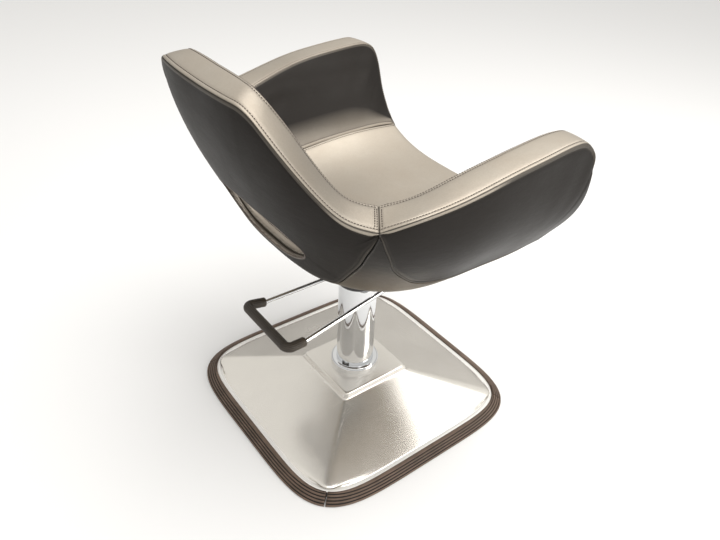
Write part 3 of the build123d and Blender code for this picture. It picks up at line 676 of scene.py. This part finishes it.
def arm_grids():
    """The left arm pad as grids, and the lines that its stitches follow."""
    top = from_seam(58, 480)
    front = even(26)[1:]
    under = even(12)[1:]
    front_in = even(len(front) + len(under) + 1)[1:]
    out_rim = join(along(arm_top_out, top), along(arm_front_out, front), along(arm_under, under))
    in_rim = join(along(arm_top_in, top), along(arm_front_in, front_in))
    turn = int(np.argmax(arm_seam[:, 1] < TIP_Y))
    outer_foot = join(
        along(arm_seam[:turn + 1], top), along(arm_seam[turn:], front), along(arm_under, under)
    )
    inner_path = join(inner_corner, seat_seam[1:])
    turn = int(np.argmax(inner_path[:, 1] < TIP_Y))
    inner_foot = join(along(inner_path[:turn + 1], top), along(inner_path[turn:], front_in))

    up = rim_frames(out_rim, in_rim, 1)
    # 1 along the top of the rim, where the roll and the outer seam show, and 0 down the front
    on_top = np.clip((out_rim[:, 2] - TIP_FOOT_Z) / 30, 0, 1) * (np.arange(len(out_rim)) < len(top) + 2)
    on_top = np.maximum(on_top, np.clip((out_rim[:, 1] + 210) / 20, 0, 1))
    sunk_out = sink(out_rim, -(OUTER.normal(out_rim) + up), (0.4 + 1.1 * on_top)[:, None])
    sunk_in = sink(in_rim, INNER.normal(in_rim) - up, 1.3)
    sunk_foot = sunk_seam(outer_foot)
    under_from = len(top) + len(front) - 1
    sunk_foot[under_from:] = sunk_out[under_from:]
    sunk_inner = sink(inner_foot, INNER.normal(inner_foot), 1.3)
    sunk_foot[0], sunk_inner[0], sunk_inner[-1] = sunk_out[0], sunk_in[0], sunk_in[-1]
    seam_valley = cross_valley(arc_length(out_rim))

    band = strip(out_rim, in_rim, BAND_EDGE_OUT, BAND_EDGE_IN, 8, crown=1.6, sunk=(sunk_out, sunk_in),
                 cross=seam_valley, fade_a=0.3 + 0.7 * on_top)
    outer = strip(outer_foot, out_rim, PANEL_FOOT, ROLL, 26, OUTER, sunk=(sunk_foot, sunk_out),
                  fade_a=1 - near_front(outer_foot), fade_b=on_top, cross=fullness(outer_foot))
    inner = strip(inner_foot, in_rim, INNER_FOOT, INNER_HEAD, 20, INNER, side=-1, crown=2.0,
                  sunk=(sunk_inner, sunk_in))
    inner = (inner[0], in_shadow(inner, 1.0))
    run = arc_length(out_rim)
    # painted shade along the arm's band: dark at the cross seam, lighter towards the tip
    band = shade_along_run(band, run, [0, 1.3, 2.6, 60, 200, 300, 480], [0.9, 0.6, 0.2, 0.15, 0.2, 0.08, 0.05])
    outer = shaded_roll(outer, run, 190)
    hidden = plain_strip(sunk_foot, sunk_inner, 5)
    foot = inner[0][STITCH_ROW_FOOT]
    lines = [
        *edge_stitches(band, inner, up), (foot, -INNER.normal(foot)), seam_stitches(band, up, SEAM_COLUMN),
    ]
    return [(*band, 0), (*outer, 1), (*inner, 1), (*hidden, 0)], lines


def whole(half):
    """A rail from the left end to the right end, from its half that ends in the middle."""
    return join(half, half[-2::-1] * MIRROR)


SLOT_LIP = 2.2                # how far the leather turns in at the slot
LINING_DEPTH = 12             # how far the back pad's hidden foot lies inside its outer seam


def back_grids():
    """The back pad as grids, and the lines that its stitches follow."""
    side_out = back_side_out[back_side_out[:, 2] < 762]
    side_in = back_side_in[back_side_in[:, 2] < 775]
    top_out = back_top_out[back_top_out[:, 0] < 114]
    top_in = back_top_in[back_top_in[:, 0] < 90]
    bend_out = rounded_corner(side_out[-1], back_side_out[-1], top_out[0])
    bend_in = rounded_corner(side_in[-1], back_side_in[-1], top_in[0])
    side = from_seam(46, 300)
    bend = even(12)[1:]
    top = even(18)[1:]
    out_half = join(along(side_out, side), along(bend_out, bend), along(top_out, top))
    in_half = join(along(side_in, side), along(bend_in, bend), along(top_in, top))
    count = len(out_half)

    # the slot takes the inner stations; the stretch from its end to the corner takes the others
    beside = count // 2 - 2
    across = even(count - beside)
    to_corner = along(slot_to_corner[::-1], even(beside + 1)[:-1])
    contact = along(join(inner_corner, seat_contact[1:]), even(beside + 1)[:-1])
    out_rim, in_rim = whole(out_half), whole(in_half)
    below = whole(join(to_corner, along(slot_below, across)))
    above = whole(join(to_corner, along(slot_above, across)))
    inner_foot = whole(join(contact, along(slot_above_in, across)))
    floor = whole(join(contact, along(slot_floor_in, across)))
    foot = whole(along(back_seam, even(count)))
    total = len(out_rim)
    slot = slice(beside, total - beside)

    up = rim_frames(out_rim, in_rim, -1)
    sunk_out = sink(out_rim, -(OUTER.normal(out_rim) + up), 1.5)
    sunk_in = sink(in_rim, INNER.normal(in_rim) - up, 1.3)
    sunk_foot = sink(foot, -OUTER.normal(foot), 2.0)
    sunk_inner = sink(inner_foot, INNER.normal(inner_foot), 1.5)
    sunk_below, sunk_above, sunk_floor = below.copy(), above.copy(), sunk_inner.copy()
    for sunk_rail, rail in ((sunk_below, below), (sunk_above, above)):
        sunk_rail[slot] -= OUTER.normal(rail[slot]) * SLOT_LIP
    sunk_above[beside], sunk_above[-beside - 1] = sunk_below[beside], sunk_below[-beside - 1]
    sunk_floor[beside + 1:total - beside - 1] = floor[beside + 1:total - beside - 1]
    for end in (0, -1):
        for rail in (sunk_foot, sunk_below, sunk_above):
            rail[end] = sunk_out[end]
        sunk_inner[end], sunk_floor[end] = sunk_in[end], sunk_in[end]
    lining = foot - OUTER.normal(foot) * LINING_DEPTH
    lining[0], lining[-1] = sunk_out[0], sunk_out[-1]

    run = arc_length(out_rim)
    from_corner = np.minimum(run, run[-1] - run)
    seam_valley = cross_valley(from_corner)
    # 0.3 across the top of the back and 1 down its sides: across the top the roll is lower and painted
    # into shade
    on_side = 0.3 + 0.7 * np.clip((np.abs(out_rim[:, 0]) - 150) / 60, 0, 1)
    in_slot = np.zeros(total)
    in_slot[slot] = np.sin(np.linspace(0, np.pi, total - 2 * beside)) ** 0.3
    band = strip(out_rim, in_rim, BAND_EDGE_OUT, BAND_EDGE_IN, 8, side=-1, crown=1.6,
                 sunk=(sunk_out, sunk_in), cross=seam_valley)
    upper = strip(above, out_rim, SLOT_EDGE, ROLL, 30, OUTER, sunk=(sunk_above, sunk_out),
                  fade_a=in_slot, fade_b=on_side)
    lower = strip(foot, below, PANEL_FOOT, SLOT_EDGE, 8, OUTER, sunk=(sunk_foot, sunk_below),
                  cross=1.8 * in_slot, fade_b=in_slot)
    inner = strip(inner_foot, in_rim, INNER_FOOT, INNER_HEAD, 30, INNER, side=-1, crown=3.0,
                  sunk=(sunk_inner, sunk_in))
    inner = (inner[0], in_shadow(inner, 0.8))
    # painted shade along the back's band: dark at the cross seams, deepest low on the sides, lighter at
    # the top
    band = shade_along_run(band, from_corner, [0, 1.3, 2.6, 60, 120, 230, 330],
                 [0.9, 0.6, 0.32, 0.38, 0.38, 0.26, 0.14])
    upper = shaded_roll(upper, from_corner, 60)
    ceiling = plain_strip(sunk_above[slot], sunk_inner[slot], 6)
    ground = plain_strip(sunk_below[slot], sunk_floor[slot], 4)
    closing = plain_strip(sunk_floor, lining, 5)
    edge = plain_strip(lining, sunk_foot, 2)
    grids = [(*upper, 2), (*lower, 2), (*inner, 1)]
    grids += [(*g, 0) for g in (band, ceiling, ground, closing, edge)]
    lines = edge_stitches(band, inner, up)
    first, second = SEAM_COLUMN, SEAM_COLUMN + 2
    return grids, lines + [seam_stitches(band, up, k) for k in (first, second, -second - 1, -first - 1)]


# Seat: half-width, side height and middle height along it, from the front edge to the slot.
seat_half = natural_spline([FRONT_Y, 8, 50, 90, 122, 150, 200], [190, 190, 188, 180, 160, 141, 133])
seat_side_z = natural_spline(
    [FRONT_Y, -132, -52, 8, 50, 90, 122, 150, 200], [529, 534, 530, 524, 519, 512, 505, 502, 503],
)
seat_middle_z = natural_spline([FRONT_Y, -33, 110, 200], [495, 487, 479, 470])
SEAT_REAR_Y, SEAT_FLOOR_Z = 203, 434.0
ROW_RUN = 420                 # the seat's rows are set out along this length, from the front edge


def seat_grids():
    """The seat pad as grids, and the lines that its stitches follow."""
    edge = np.array([0, 0.006, 0.015, 0.026, 0.037, 0.055])
    across = join(-1 + edge, np.linspace(-0.92, 0.92, 61), (1 - edge)[::-1])
    edge_drop = np.interp(1 - np.abs(across), [*edge, 0.08], [-1.2, -0.2, 0.7, 0.2, 0.8, 1.0, 1.0])
    steps = join([0, 2, 4, 8, 14], np.linspace(22, 400, 72), [408, 414, ROW_RUN]) / ROW_RUN
    rear = SEAT_REAR_Y - 3.0 * (1 - across ** 2)
    y = FRONT_Y + steps[:, None] * (rear - FRONT_Y)[None, :]
    x = across[None, :] * seat_half(y[:, 0])[:, None]
    fall = np.abs(across)[None, :] ** 3
    z = seat_middle_z(y) + (seat_side_z(y) - seat_middle_z(y)) * fall
    crown = 4.0 * np.sin(np.pi * steps) ** 0.5
    z = z + crown[:, None] * (1 - np.abs(across)[None, :] ** 2.5) + edge_drop[None, :]
    # the front edge rolls over into the front face
    z = z + np.interp(steps * ROW_RUN, [0, 2, 4, 8, 14, 22], [-5.0, -2.2, -0.9, -0.2, 0, 0])[:, None]
    top = np.stack([x, y, z], axis=-1)
    # painted shade: the seat's top darkens towards the back rest
    top_shade = 0.03 + 0.27 * np.clip((y + 60) / 220, 0, 1)
    drop = even(12)[:, None]
    face_z = top[0][None, :, 2] * (1 - drop) + SEAT_FLOOR_Z * drop
    bulge = 3.0 * np.sin(np.pi * drop) ** 0.5
    front = np.stack(np.broadcast_arrays(top[0][:, 0], FRONT_Y - bulge, face_z), axis=-1)
    under_rear = top[-1] + np.array([0, -16, -30])
    under = plain_strip(front[-1], under_rear, 30)
    back = plain_strip(under_rear, top[-1], 2)
    grids = [(top, top_shade, 0), one_tone(front, 0.05), (*under, 0), (*back, 0)]
    for column in (0, -1):
        side_top, run = top[:, column], arc_length(top[:, column])
        low = along(under[0][:, column], run / run[-1])
        grids.append((*plain_strip(low, side_top, 3), 0))
    up = np.array([0, 0, 1.0])
    # topstitching beside both side seams, then along the rear edge
    rows = [top[:, SEAM_COLUMN], top[:, -SEAM_COLUMN - 1], top[-3, 3:-3]]
    return grids, [(row, np.broadcast_to(up, row.shape)) for row in rows]


SHELL_WALL = 11.0
SHELL_FOOT_Z, RISE_Y = 395, -110        # the flat underside, and where it starts to rise to the front


def shell_grid():
    """Bottom shell: from the seams of arms and back down to its flat underside."""
    head_half = join(along(arm_seam[::-1], even(70)[:-1]), along(back_seam, even(70)))
    y = np.linspace(FRONT_Y, RISE_Y, 40)
    z = np.interp(y, [-300, RISE_Y], [437, SHELL_FOOT_Z])
    rising = np.stack([OUTER.half(z), y, z], axis=1)
    half, reach = OUTER.half(SHELL_FOOT_Z), OUTER.rear(SHELL_FOOT_Z) - OUTER.centre
    straight = np.array([(half, y, SHELL_FOOT_Z) for y in np.linspace(RISE_Y, OUTER.centre, 20)])
    angle = np.linspace(0, np.pi / 2, 60)
    power = 2 / OUTER_POWER
    curved = np.stack([
        half * np.cos(angle) ** power, OUTER.centre + reach * np.sin(angle) ** power,
        np.full(len(angle), float(SHELL_FOOT_Z)),
    ], axis=1)
    base_half = join(rising, straight[1:], curved[1:])
    base = whole(along(base_half, even(len(head_half))))
    head = whole(head_half)
    skin, _ = strip(base, head, [(4.0, 0.0, 1.0)], SHELL_EDGE, 34, OUTER, sunk=(base, sunk_seam(head)),
                    cross=fullness(head), fade_b=1 - near_front(head))
    # painted shade: the skin is dark high up near the seams and light towards its flat underside
    skin_shade = np.clip((skin[..., 2] - 425) / 115, 0, 1) ** 0.8
    lining = skin - OUTER.normal(skin) * SHELL_WALL
    lining[0, :, 2] = skin[0, :, 2] + SHELL_WALL
    rim = np.stack([skin[-1], lining[-1]])
    # flat undersides, between the two halves of each outline
    middle = skin.shape[1] // 2 + 1
    under, cover = (
        plain_strip(outline[:middle], outline[::-1][:middle], 16)[0] for outline in (skin[0], lining[0])
    )
    # the hidden lining, rim and cover are painted fully into shade, the front edges partly
    grids = [(skin, skin_shade, 0), one_tone(under), *(one_tone(g, 1.0) for g in (lining, rim, cover))]
    front_edges = [(skin[:, 0], lining[:, 0]), (skin[:, -1], lining[:, -1]), (under[:, 0], cover[:, 0])]
    return grids + [one_tone(np.stack(edges), 0.3) for edges in front_edges]


def slot_ring():
    """Ribbed edging that lines the slot, from its outer lip inwards."""
    shares = even(70)
    loop, inner_loop = (
        join(whole(along(above, shares)), whole(along(below, shares))[::-1][1:])
        for above, below in ((slot_above, slot_below), (slot_above_in, slot_floor_in))
    )
    inwards = unit(inner_loop - loop)
    tangent = unit(np.roll(loop, -1, axis=0) - np.roll(loop, 1, axis=0))
    tangent[0] = tangent[-1] = unit(loop[1] - loop[-2])
    towards = unit(np.cross(tangent, inwards))
    towards *= np.where(np.sum(towards * (SLOT_MIDDLE - loop), axis=1) > 0, 1, -1)[:, None]
    # section: depth from the lip, height towards the middle of the slot, shade; the shade is painted
    # shade, dark in the grooves
    section = [
        (0.4, -2.4, 0.6), (-0.3, -0.8, 0.6), (0.0, 0.4, 0.1), (0.5, 0.7, 0.0), (1.0, 0.2, 1.0),
        (1.6, 0.1, 1.0), (2.1, 1.0, 0.4), (2.9, 1.3, 0.2), (3.7, 0.9, 0.4), (4.0, 0.4, 0.9),
        (4.3, 0.9, 0.4), (5.1, 1.3, 0.2), (5.9, 1.1, 0.4), (6.4, 0.1, 1.0), (7.0, 0.1, 1.0),
        (7.5, 0.8, 0.0), (8.1, 0.8, 0.0), (8.6, -0.4, 0.8), (8.8, -2.4, 1.0),
    ]
    section.append(section[0])
    rows = np.array([loop + inwards * depth + towards * height for depth, height, _ in section])
    # painted shade: past its joint the edging faces away from the light, so it is painted darker
    shade_past_joint = np.clip((loop[:, 0] - 45) / 6, 0, 1) * 0.75
    shades = np.array([np.maximum(shade, shade_past_joint) for _, _, shade in section])
    return [(rows, shades, 0)]


def fit(name, grids, materials, node, body="seat"):
    """A welded piece that rides on a body and stands for a CAD node."""
    piece = weld(name, grids, materials)
    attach(piece, body)
    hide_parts(node)


STITCH_SIDES = 5


def stitches(name, lines, length=3.6, pitch=4.9, thick=0.8):
    """Thread stitches along lines: each is a short spindle half sunk in the leather."""
    work = bmesh.new()
    turns = [2 * math.pi * k / STITCH_SIDES for k in range(STITCH_SIDES)]
    # shares of the length and of the thickness
    ring = [(-0.5, 0.15), (-0.36, 0.85), (0.0, 1.0), (0.36, 0.85), (0.5, 0.15)]
    for line, normals in lines:
        run = arc_length(line)
        marks = np.arange(pitch, run[-1] - pitch / 2, pitch)
        spots = along(line, marks / run[-1])
        ahead = along(line, np.minimum(marks + 0.5, run[-1]) / run[-1])
        ups = np.stack([np.interp(marks, run, normals[:, k]) for k in range(3)], axis=1)
        for spot, next_spot, up in zip(spots, ahead, ups):
            forward = unit(next_spot - spot)
            up = unit(up - forward * np.dot(up, forward))
            across = np.cross(forward, up)
            rings = []
            for share, width in ring:
                centre = spot + forward * share * length + up * 0.25
                spokes = [across * math.cos(turn) + up * math.sin(turn) for turn in turns]
                rings.append([work.verts.new((centre + thick * width * spoke) * MM) for spoke in spokes])
            for low, high in zip(rings, rings[1:]):
                for k, after in enumerate([*range(1, STITCH_SIDES), 0]):
                    work.faces.new((low[k], low[after], high[after], high[k])).smooth = True
            work.faces.new(rings[0][::-1])
            work.faces.new(rings[-1])
    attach(made_object(name, work, [stitch_thread]), "seat")


arm, arm_lines = arm_grids()
back, back_lines = back_grids()
seat, seat_lines = seat_grids()
# The pads' leather, with the shaded copies that carry the painted shade of the outer panels and inner
# faces.
leather_and_shaded_copies = [upholstery, panel_leather, back_leather]
fit("arm_cushion_left", arm, leather_and_shaded_copies, "arm_pad_left")
fit("arm_cushion_right", mirrored(arm), leather_and_shaded_copies, "arm_pad_right")
fit("back_cushion", back, leather_and_shaded_copies, "backrest_pad")
fit("seat_cushion", seat, leather_and_shaded_copies, "seat_pad")
fit("shell_cover", shell_grid(), [shell_leather], "bottom_shell")
fit("slot_edging", slot_ring(), [edging], "slot_trim")
stitches("arm_stitching_left", arm_lines)
stitches("arm_stitching_right", [(line * MIRROR, up * MIRROR) for line, up in arm_lines])
stitches("back_stitching", back_lines)
stitches("seat_stitching", seat_lines)


# ======== base
RIM_POWER = 5.7               # the squareness of the base's outline
PLATE_HALF, TRIM_HALF = 256, 280
TRIM_FOOT_Z, TRIM_TOP_Z = 0.5, 17.2


def squircle_ring(half, power, z, first=0, last=360, count=320):
    """A level superellipse outline, or the part of it between two angles; power 0 makes a circle."""
    angle = np.radians(np.linspace(first, last, count + 1))
    power = power or 2
    reach = half / (np.abs(np.cos(angle)) ** power + np.abs(np.sin(angle)) ** power) ** (1 / power)
    return np.stack([reach * np.cos(angle), reach * np.sin(angle), np.full(count + 1, float(z))], axis=1)


def cover_grid():
    """Pressed plate: flat rim, four flat slopes that meet in crisp hips, and a raised block."""
    slopes = []
    for t in even(34):
        ease = np.clip(t / 0.22, 0, 1)
        slopes.append((244 - 154 * t, 5.9 + 42 * ease * ease * (3 - 2 * ease), 15.3 + 42.0 * t))
    rings = [
        (PLATE_HALF, RIM_POWER, 12.5), (PLATE_HALF, RIM_POWER, 14.3), (255.3, RIM_POWER, 15.0),
        (248.5, RIM_POWER, 15.0), (247.6, RIM_POWER, 14.2), (246, 5.8, 14.2), (245, 5.85, 15.0), *slopes,
        (88, 44, 57.9), (86, 38, 59.0), (84.6, 32, 61.5), (83.2, 24, 68.0), (82.2, 20, 70.3),
        (80.5, 17, 71.4), (78, 15, 71.6), (60, 8, 71.6), (48, 3, 71.6), (41.8, 0, 71.5), (41.8, 0, 69.0),
        (60, 8, 69.0), (78, 15, 69.0), (82, 30, 58.5), (240, 5.9, 12.5), (PLATE_HALF, RIM_POWER, 12.5),
    ]
    points = np.array([squircle_ring(*ring) for ring in rings])
    # the rim rings take cover_rim, the paler steel of the painted reflection
    return [one_tone(points[:6], index=1), one_tone(points[5:])]


# One rib of the trim: steps in from its outermost line, and up from its foot.
# Each point is its distance inwards, its height and its shade, which is painted shade, dark in the groove.
RIB = [
    (0.9, 0.2, 0.8), (0.15, 0.8, 0.2), (0.0, 1.7, 0.0), (0.5, 2.7, 0.0), (1.4, 3.3, 0.0), (2.4, 3.4, 0.1),
    (3.0, 2.9, 0.9), (3.7, 2.4, 1.0), (4.4, 2.9, 1.0),
]
TRIM_RIBS, RIB_STEP, RIB_RISE = 5, 4.0, 3.4
TRIM_OPEN = 0.26              # degrees kept open on each side of a corner joint


def trim_grids(turn):
    """A quarter of the rubber trim, between two corners: rounded ribs that step in to the plate."""
    beside_plate = PLATE_HALF + 0.2
    outer = [(beside_plate, RIM_POWER, TRIM_FOOT_Z), (268.0, 5.2, TRIM_FOOT_Z)]
    for rib in range(TRIM_RIBS):
        outer += [
            (TRIM_HALF - RIB_STEP * rib - inwards, 4.9, TRIM_FOOT_Z + RIB_RISE * rib + up)
            for inwards, up, _ in RIB
        ]
    outer[-3:] = [(259.5, 5.4, 17.5), (257.5, 5.6, 17.5), (beside_plate, RIM_POWER, TRIM_TOP_Z)]
    inner = [(beside_plate, RIM_POWER, z) for z in np.linspace(TRIM_FOOT_Z, TRIM_TOP_Z, len(outer))]
    first, last = turn - 45 + TRIM_OPEN, turn + 45 - TRIM_OPEN
    outside, inside = (
        np.array([squircle_ring(*ring, first, last, 120) for ring in side]) for side in (outer, inner)
    )
    caps = [np.stack([outside[:, end], inside[:, end]]) for end in (0, -1)]
    # painted shade: dark at the trim's foot and in each groove, nearly light at its top beside the plate
    shades = np.array([1.0, 0.9] + [shade for _, _, shade in RIB] * TRIM_RIBS)
    shades[-3:] = 0.1
    shades = np.repeat(shades[:, None], outside.shape[1], axis=1)
    return [(outside, shades, 0), *(one_tone(grid) for grid in (inside, *caps))]


# Pedal grip: a ribbed sleeve over the rear of the foot bar.
GRIP_PATH = [(75.0, 181.0, 261.5), (80.0, 222.0, 266.0), (-80.0, 222.0, 266.0), (-75.0, 181.0, 261.5)]
GRIP_BEND, GRIP_R, GRIP_RIBS, BAR_R = 11.5, 10.0, 16, 4.6


def bent_path(corners, radius, step=1.5):
    """A path through straight lengths with round bends of one radius."""
    corners = np.array(corners)
    path = [corners[0]]
    for before, corner, after in zip(corners, corners[1:], corners[2:]):
        back, ahead = unit(before - corner), unit(after - corner)
        half_angle = np.arccos(np.clip(np.dot(back, ahead), -1, 1)) / 2
        centre = corner + unit(back + ahead) * radius / np.sin(half_angle)
        start, end = (corner + way * radius / np.tan(half_angle) for way in (back, ahead))
        for t in even(18):
            path.append(centre + unit((start - centre) * (1 - t) + (end - centre) * t) * radius)
    path.append(corners[-1])
    path = np.array(path)
    length = arc_length(path)[-1]
    return along(path, even(int(length / step)))


def grip_grids():
    """The rubber sleeve, ribbed along its length, with plain ends."""
    path = bent_path(GRIP_PATH, GRIP_BEND)
    run = arc_length(path)
    from_end = np.minimum(run, run[-1] - run)
    ahead = unit(np.gradient(path, axis=0))
    across = unit(np.cross(ahead, (0, 0, 1.0)))
    up = np.cross(across, ahead)
    angle = np.linspace(0, 2 * np.pi, 8 * GRIP_RIBS + 1)
    groove = np.abs(np.cos(angle * GRIP_RIBS / 2))[:, None]
    # the ribs start past a plain collar at each end, behind a shallow ring
    ribbed = np.clip((from_end - 9) / 3, 0, 1)
    round_end, ring = 1.6 * np.exp(-from_end / 0.9), 0.5 * np.exp(-(from_end - 10) ** 2)
    radius = GRIP_R - 0.1 - 0.55 * groove ** 6 * ribbed - round_end - ring
    spokes = np.cos(angle)[:, None, None] * across + np.sin(angle)[:, None, None] * up
    skin = path + spokes * radius[..., None]
    caps = [
        np.stack([
            skin[:, end], path[end] + spokes[:, end] * (BAR_R + 0.05),
            np.repeat(path[end][None], len(angle), axis=0),
        ]) for end in (0, -1)
    ]
    # painted shade in the grooves between the ribs, none on the plain ends
    shades = 0.9 * groove ** 4 * ribbed
    return [(skin, shades, 0), *(one_tone(cap) for cap in caps)]


fit("pressed_cover", cover_grid(), [steel_cover, cover_rim], "base_cover", "base")
for side, turn in (("left", 0), ("back", 90), ("right", 180), ("front", 270)):
    fit(f"ribbed_trim_{side}", trim_grids(turn), [trim_rubber], f"base_trim_{side}", "base")
fit("ribbed_grip", grip_grids(), [grip_rubber], "pedal_grip", "pedal")

# Plunger spring: a copy of the CAD one, which hangs from the pump head's boss.
spring = frame["nodes"]["plunger_spring"].copy()
spring.data = spring.data.copy()
spring.name, spring.parent = "return_spring", None
scene.collection.objects.link(spring)
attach(spring, "seat")
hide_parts("plunger_spring")
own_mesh(spring)

# ======== camera, light and floor
CAMERA_AT = Vector((-0.94403, 0.72856, 1.14064))
YAW, ELEVATION, ROLL_ANGLE = (math.radians(a) for a in (228.44, 30.67, 4.68))
back_way = Vector((
    math.sin(YAW) * math.cos(ELEVATION), -math.cos(YAW) * math.cos(ELEVATION), math.sin(ELEVATION),
))
right_way = Vector((math.cos(YAW), math.sin(YAW), 0))
up_way = back_way.cross(right_way)
camera = add_object("camera", bpy.data.cameras.new("camera"))
rolled_right = math.cos(ROLL_ANGLE) * right_way + math.sin(ROLL_ANGLE) * up_way
rolled_up = math.cos(ROLL_ANGLE) * up_way - math.sin(ROLL_ANGLE) * right_way
turned = Matrix((rolled_right, rolled_up, back_way)).transposed()
camera.matrix_world = Matrix.Translation(CAMERA_AT) @ turned.to_4x4()
camera.data.sensor_width = 36.0
camera.data.lens = 34.37
camera.data.shift_x = -0.0572
camera.data.shift_y = -0.0633
scene.camera = camera

# Lights: name, place, aim, size, power and colour.
for name, place, aim, size, power, colour in (
    ("ceiling", (-0.5, -0.4, 3.0), (0, 0, 0.4), (3.0, 2.4), 75, (1.0, 0.985, 0.96)),
    ("window", (-2.6, -1.6, 1.4), (0, 0, 0.5), (1.6, 1.2), 34, (1.0, 0.98, 0.95)),
):
    lamp = bpy.data.lights.new(name, "AREA")
    lamp.shape, lamp.energy, lamp.color = "RECTANGLE", power, colour
    lamp.size, lamp.size_y = size
    light = add_object(name, lamp)
    light.location, light.rotation_mode = place, "QUATERNION"
    light.rotation_quaternion = (Vector(aim) - Vector(place)).to_track_quat("-Z", "Y")

world = bpy.data.worlds.new("studio")
scene.world = world
world.use_nodes = True
background = world.node_tree.nodes["Background"]
around = new_node(background, "ShaderNodeTexCoord", {}).outputs["Generated"]
direction = new_node(background, "ShaderNodeSeparateXYZ", {"Vector": around})
# the sky's tones from the horizon up, which the base, the column and the leather reflect
give(background, {"Strength": 0.85, "Color": ramp(direction.outputs["Z"], [
    (0.0, (0.55, 0.54, 0.52)), (0.05, (0.50, 0.49, 0.47)), (0.20, (0.30, 0.29, 0.28)),
    (0.42, (0.98, 0.96, 0.92)), (1.0, (1.0, 0.99, 0.97)),
])})

FLOOR_HALF = 12
floor_mesh = bpy.data.meshes.new("floor")
floor_mesh.from_pydata([
    (FLOOR_HALF * x, FLOOR_HALF * y, 0) for x, y in ((-1, -1), (1, -1), (1, 1), (-1, 1))
], [], [(0, 1, 2, 3)])
floor_material, floor_shader = bare_material("pale_floor")
give(floor_shader, {"Base Color": (0.86, 0.86, 0.86, 1), "Roughness": 0.8})
floor_mesh.materials.append(floor_material)
add_object("floor", floor_mesh)
scene.view_settings.view_transform = "Standard"
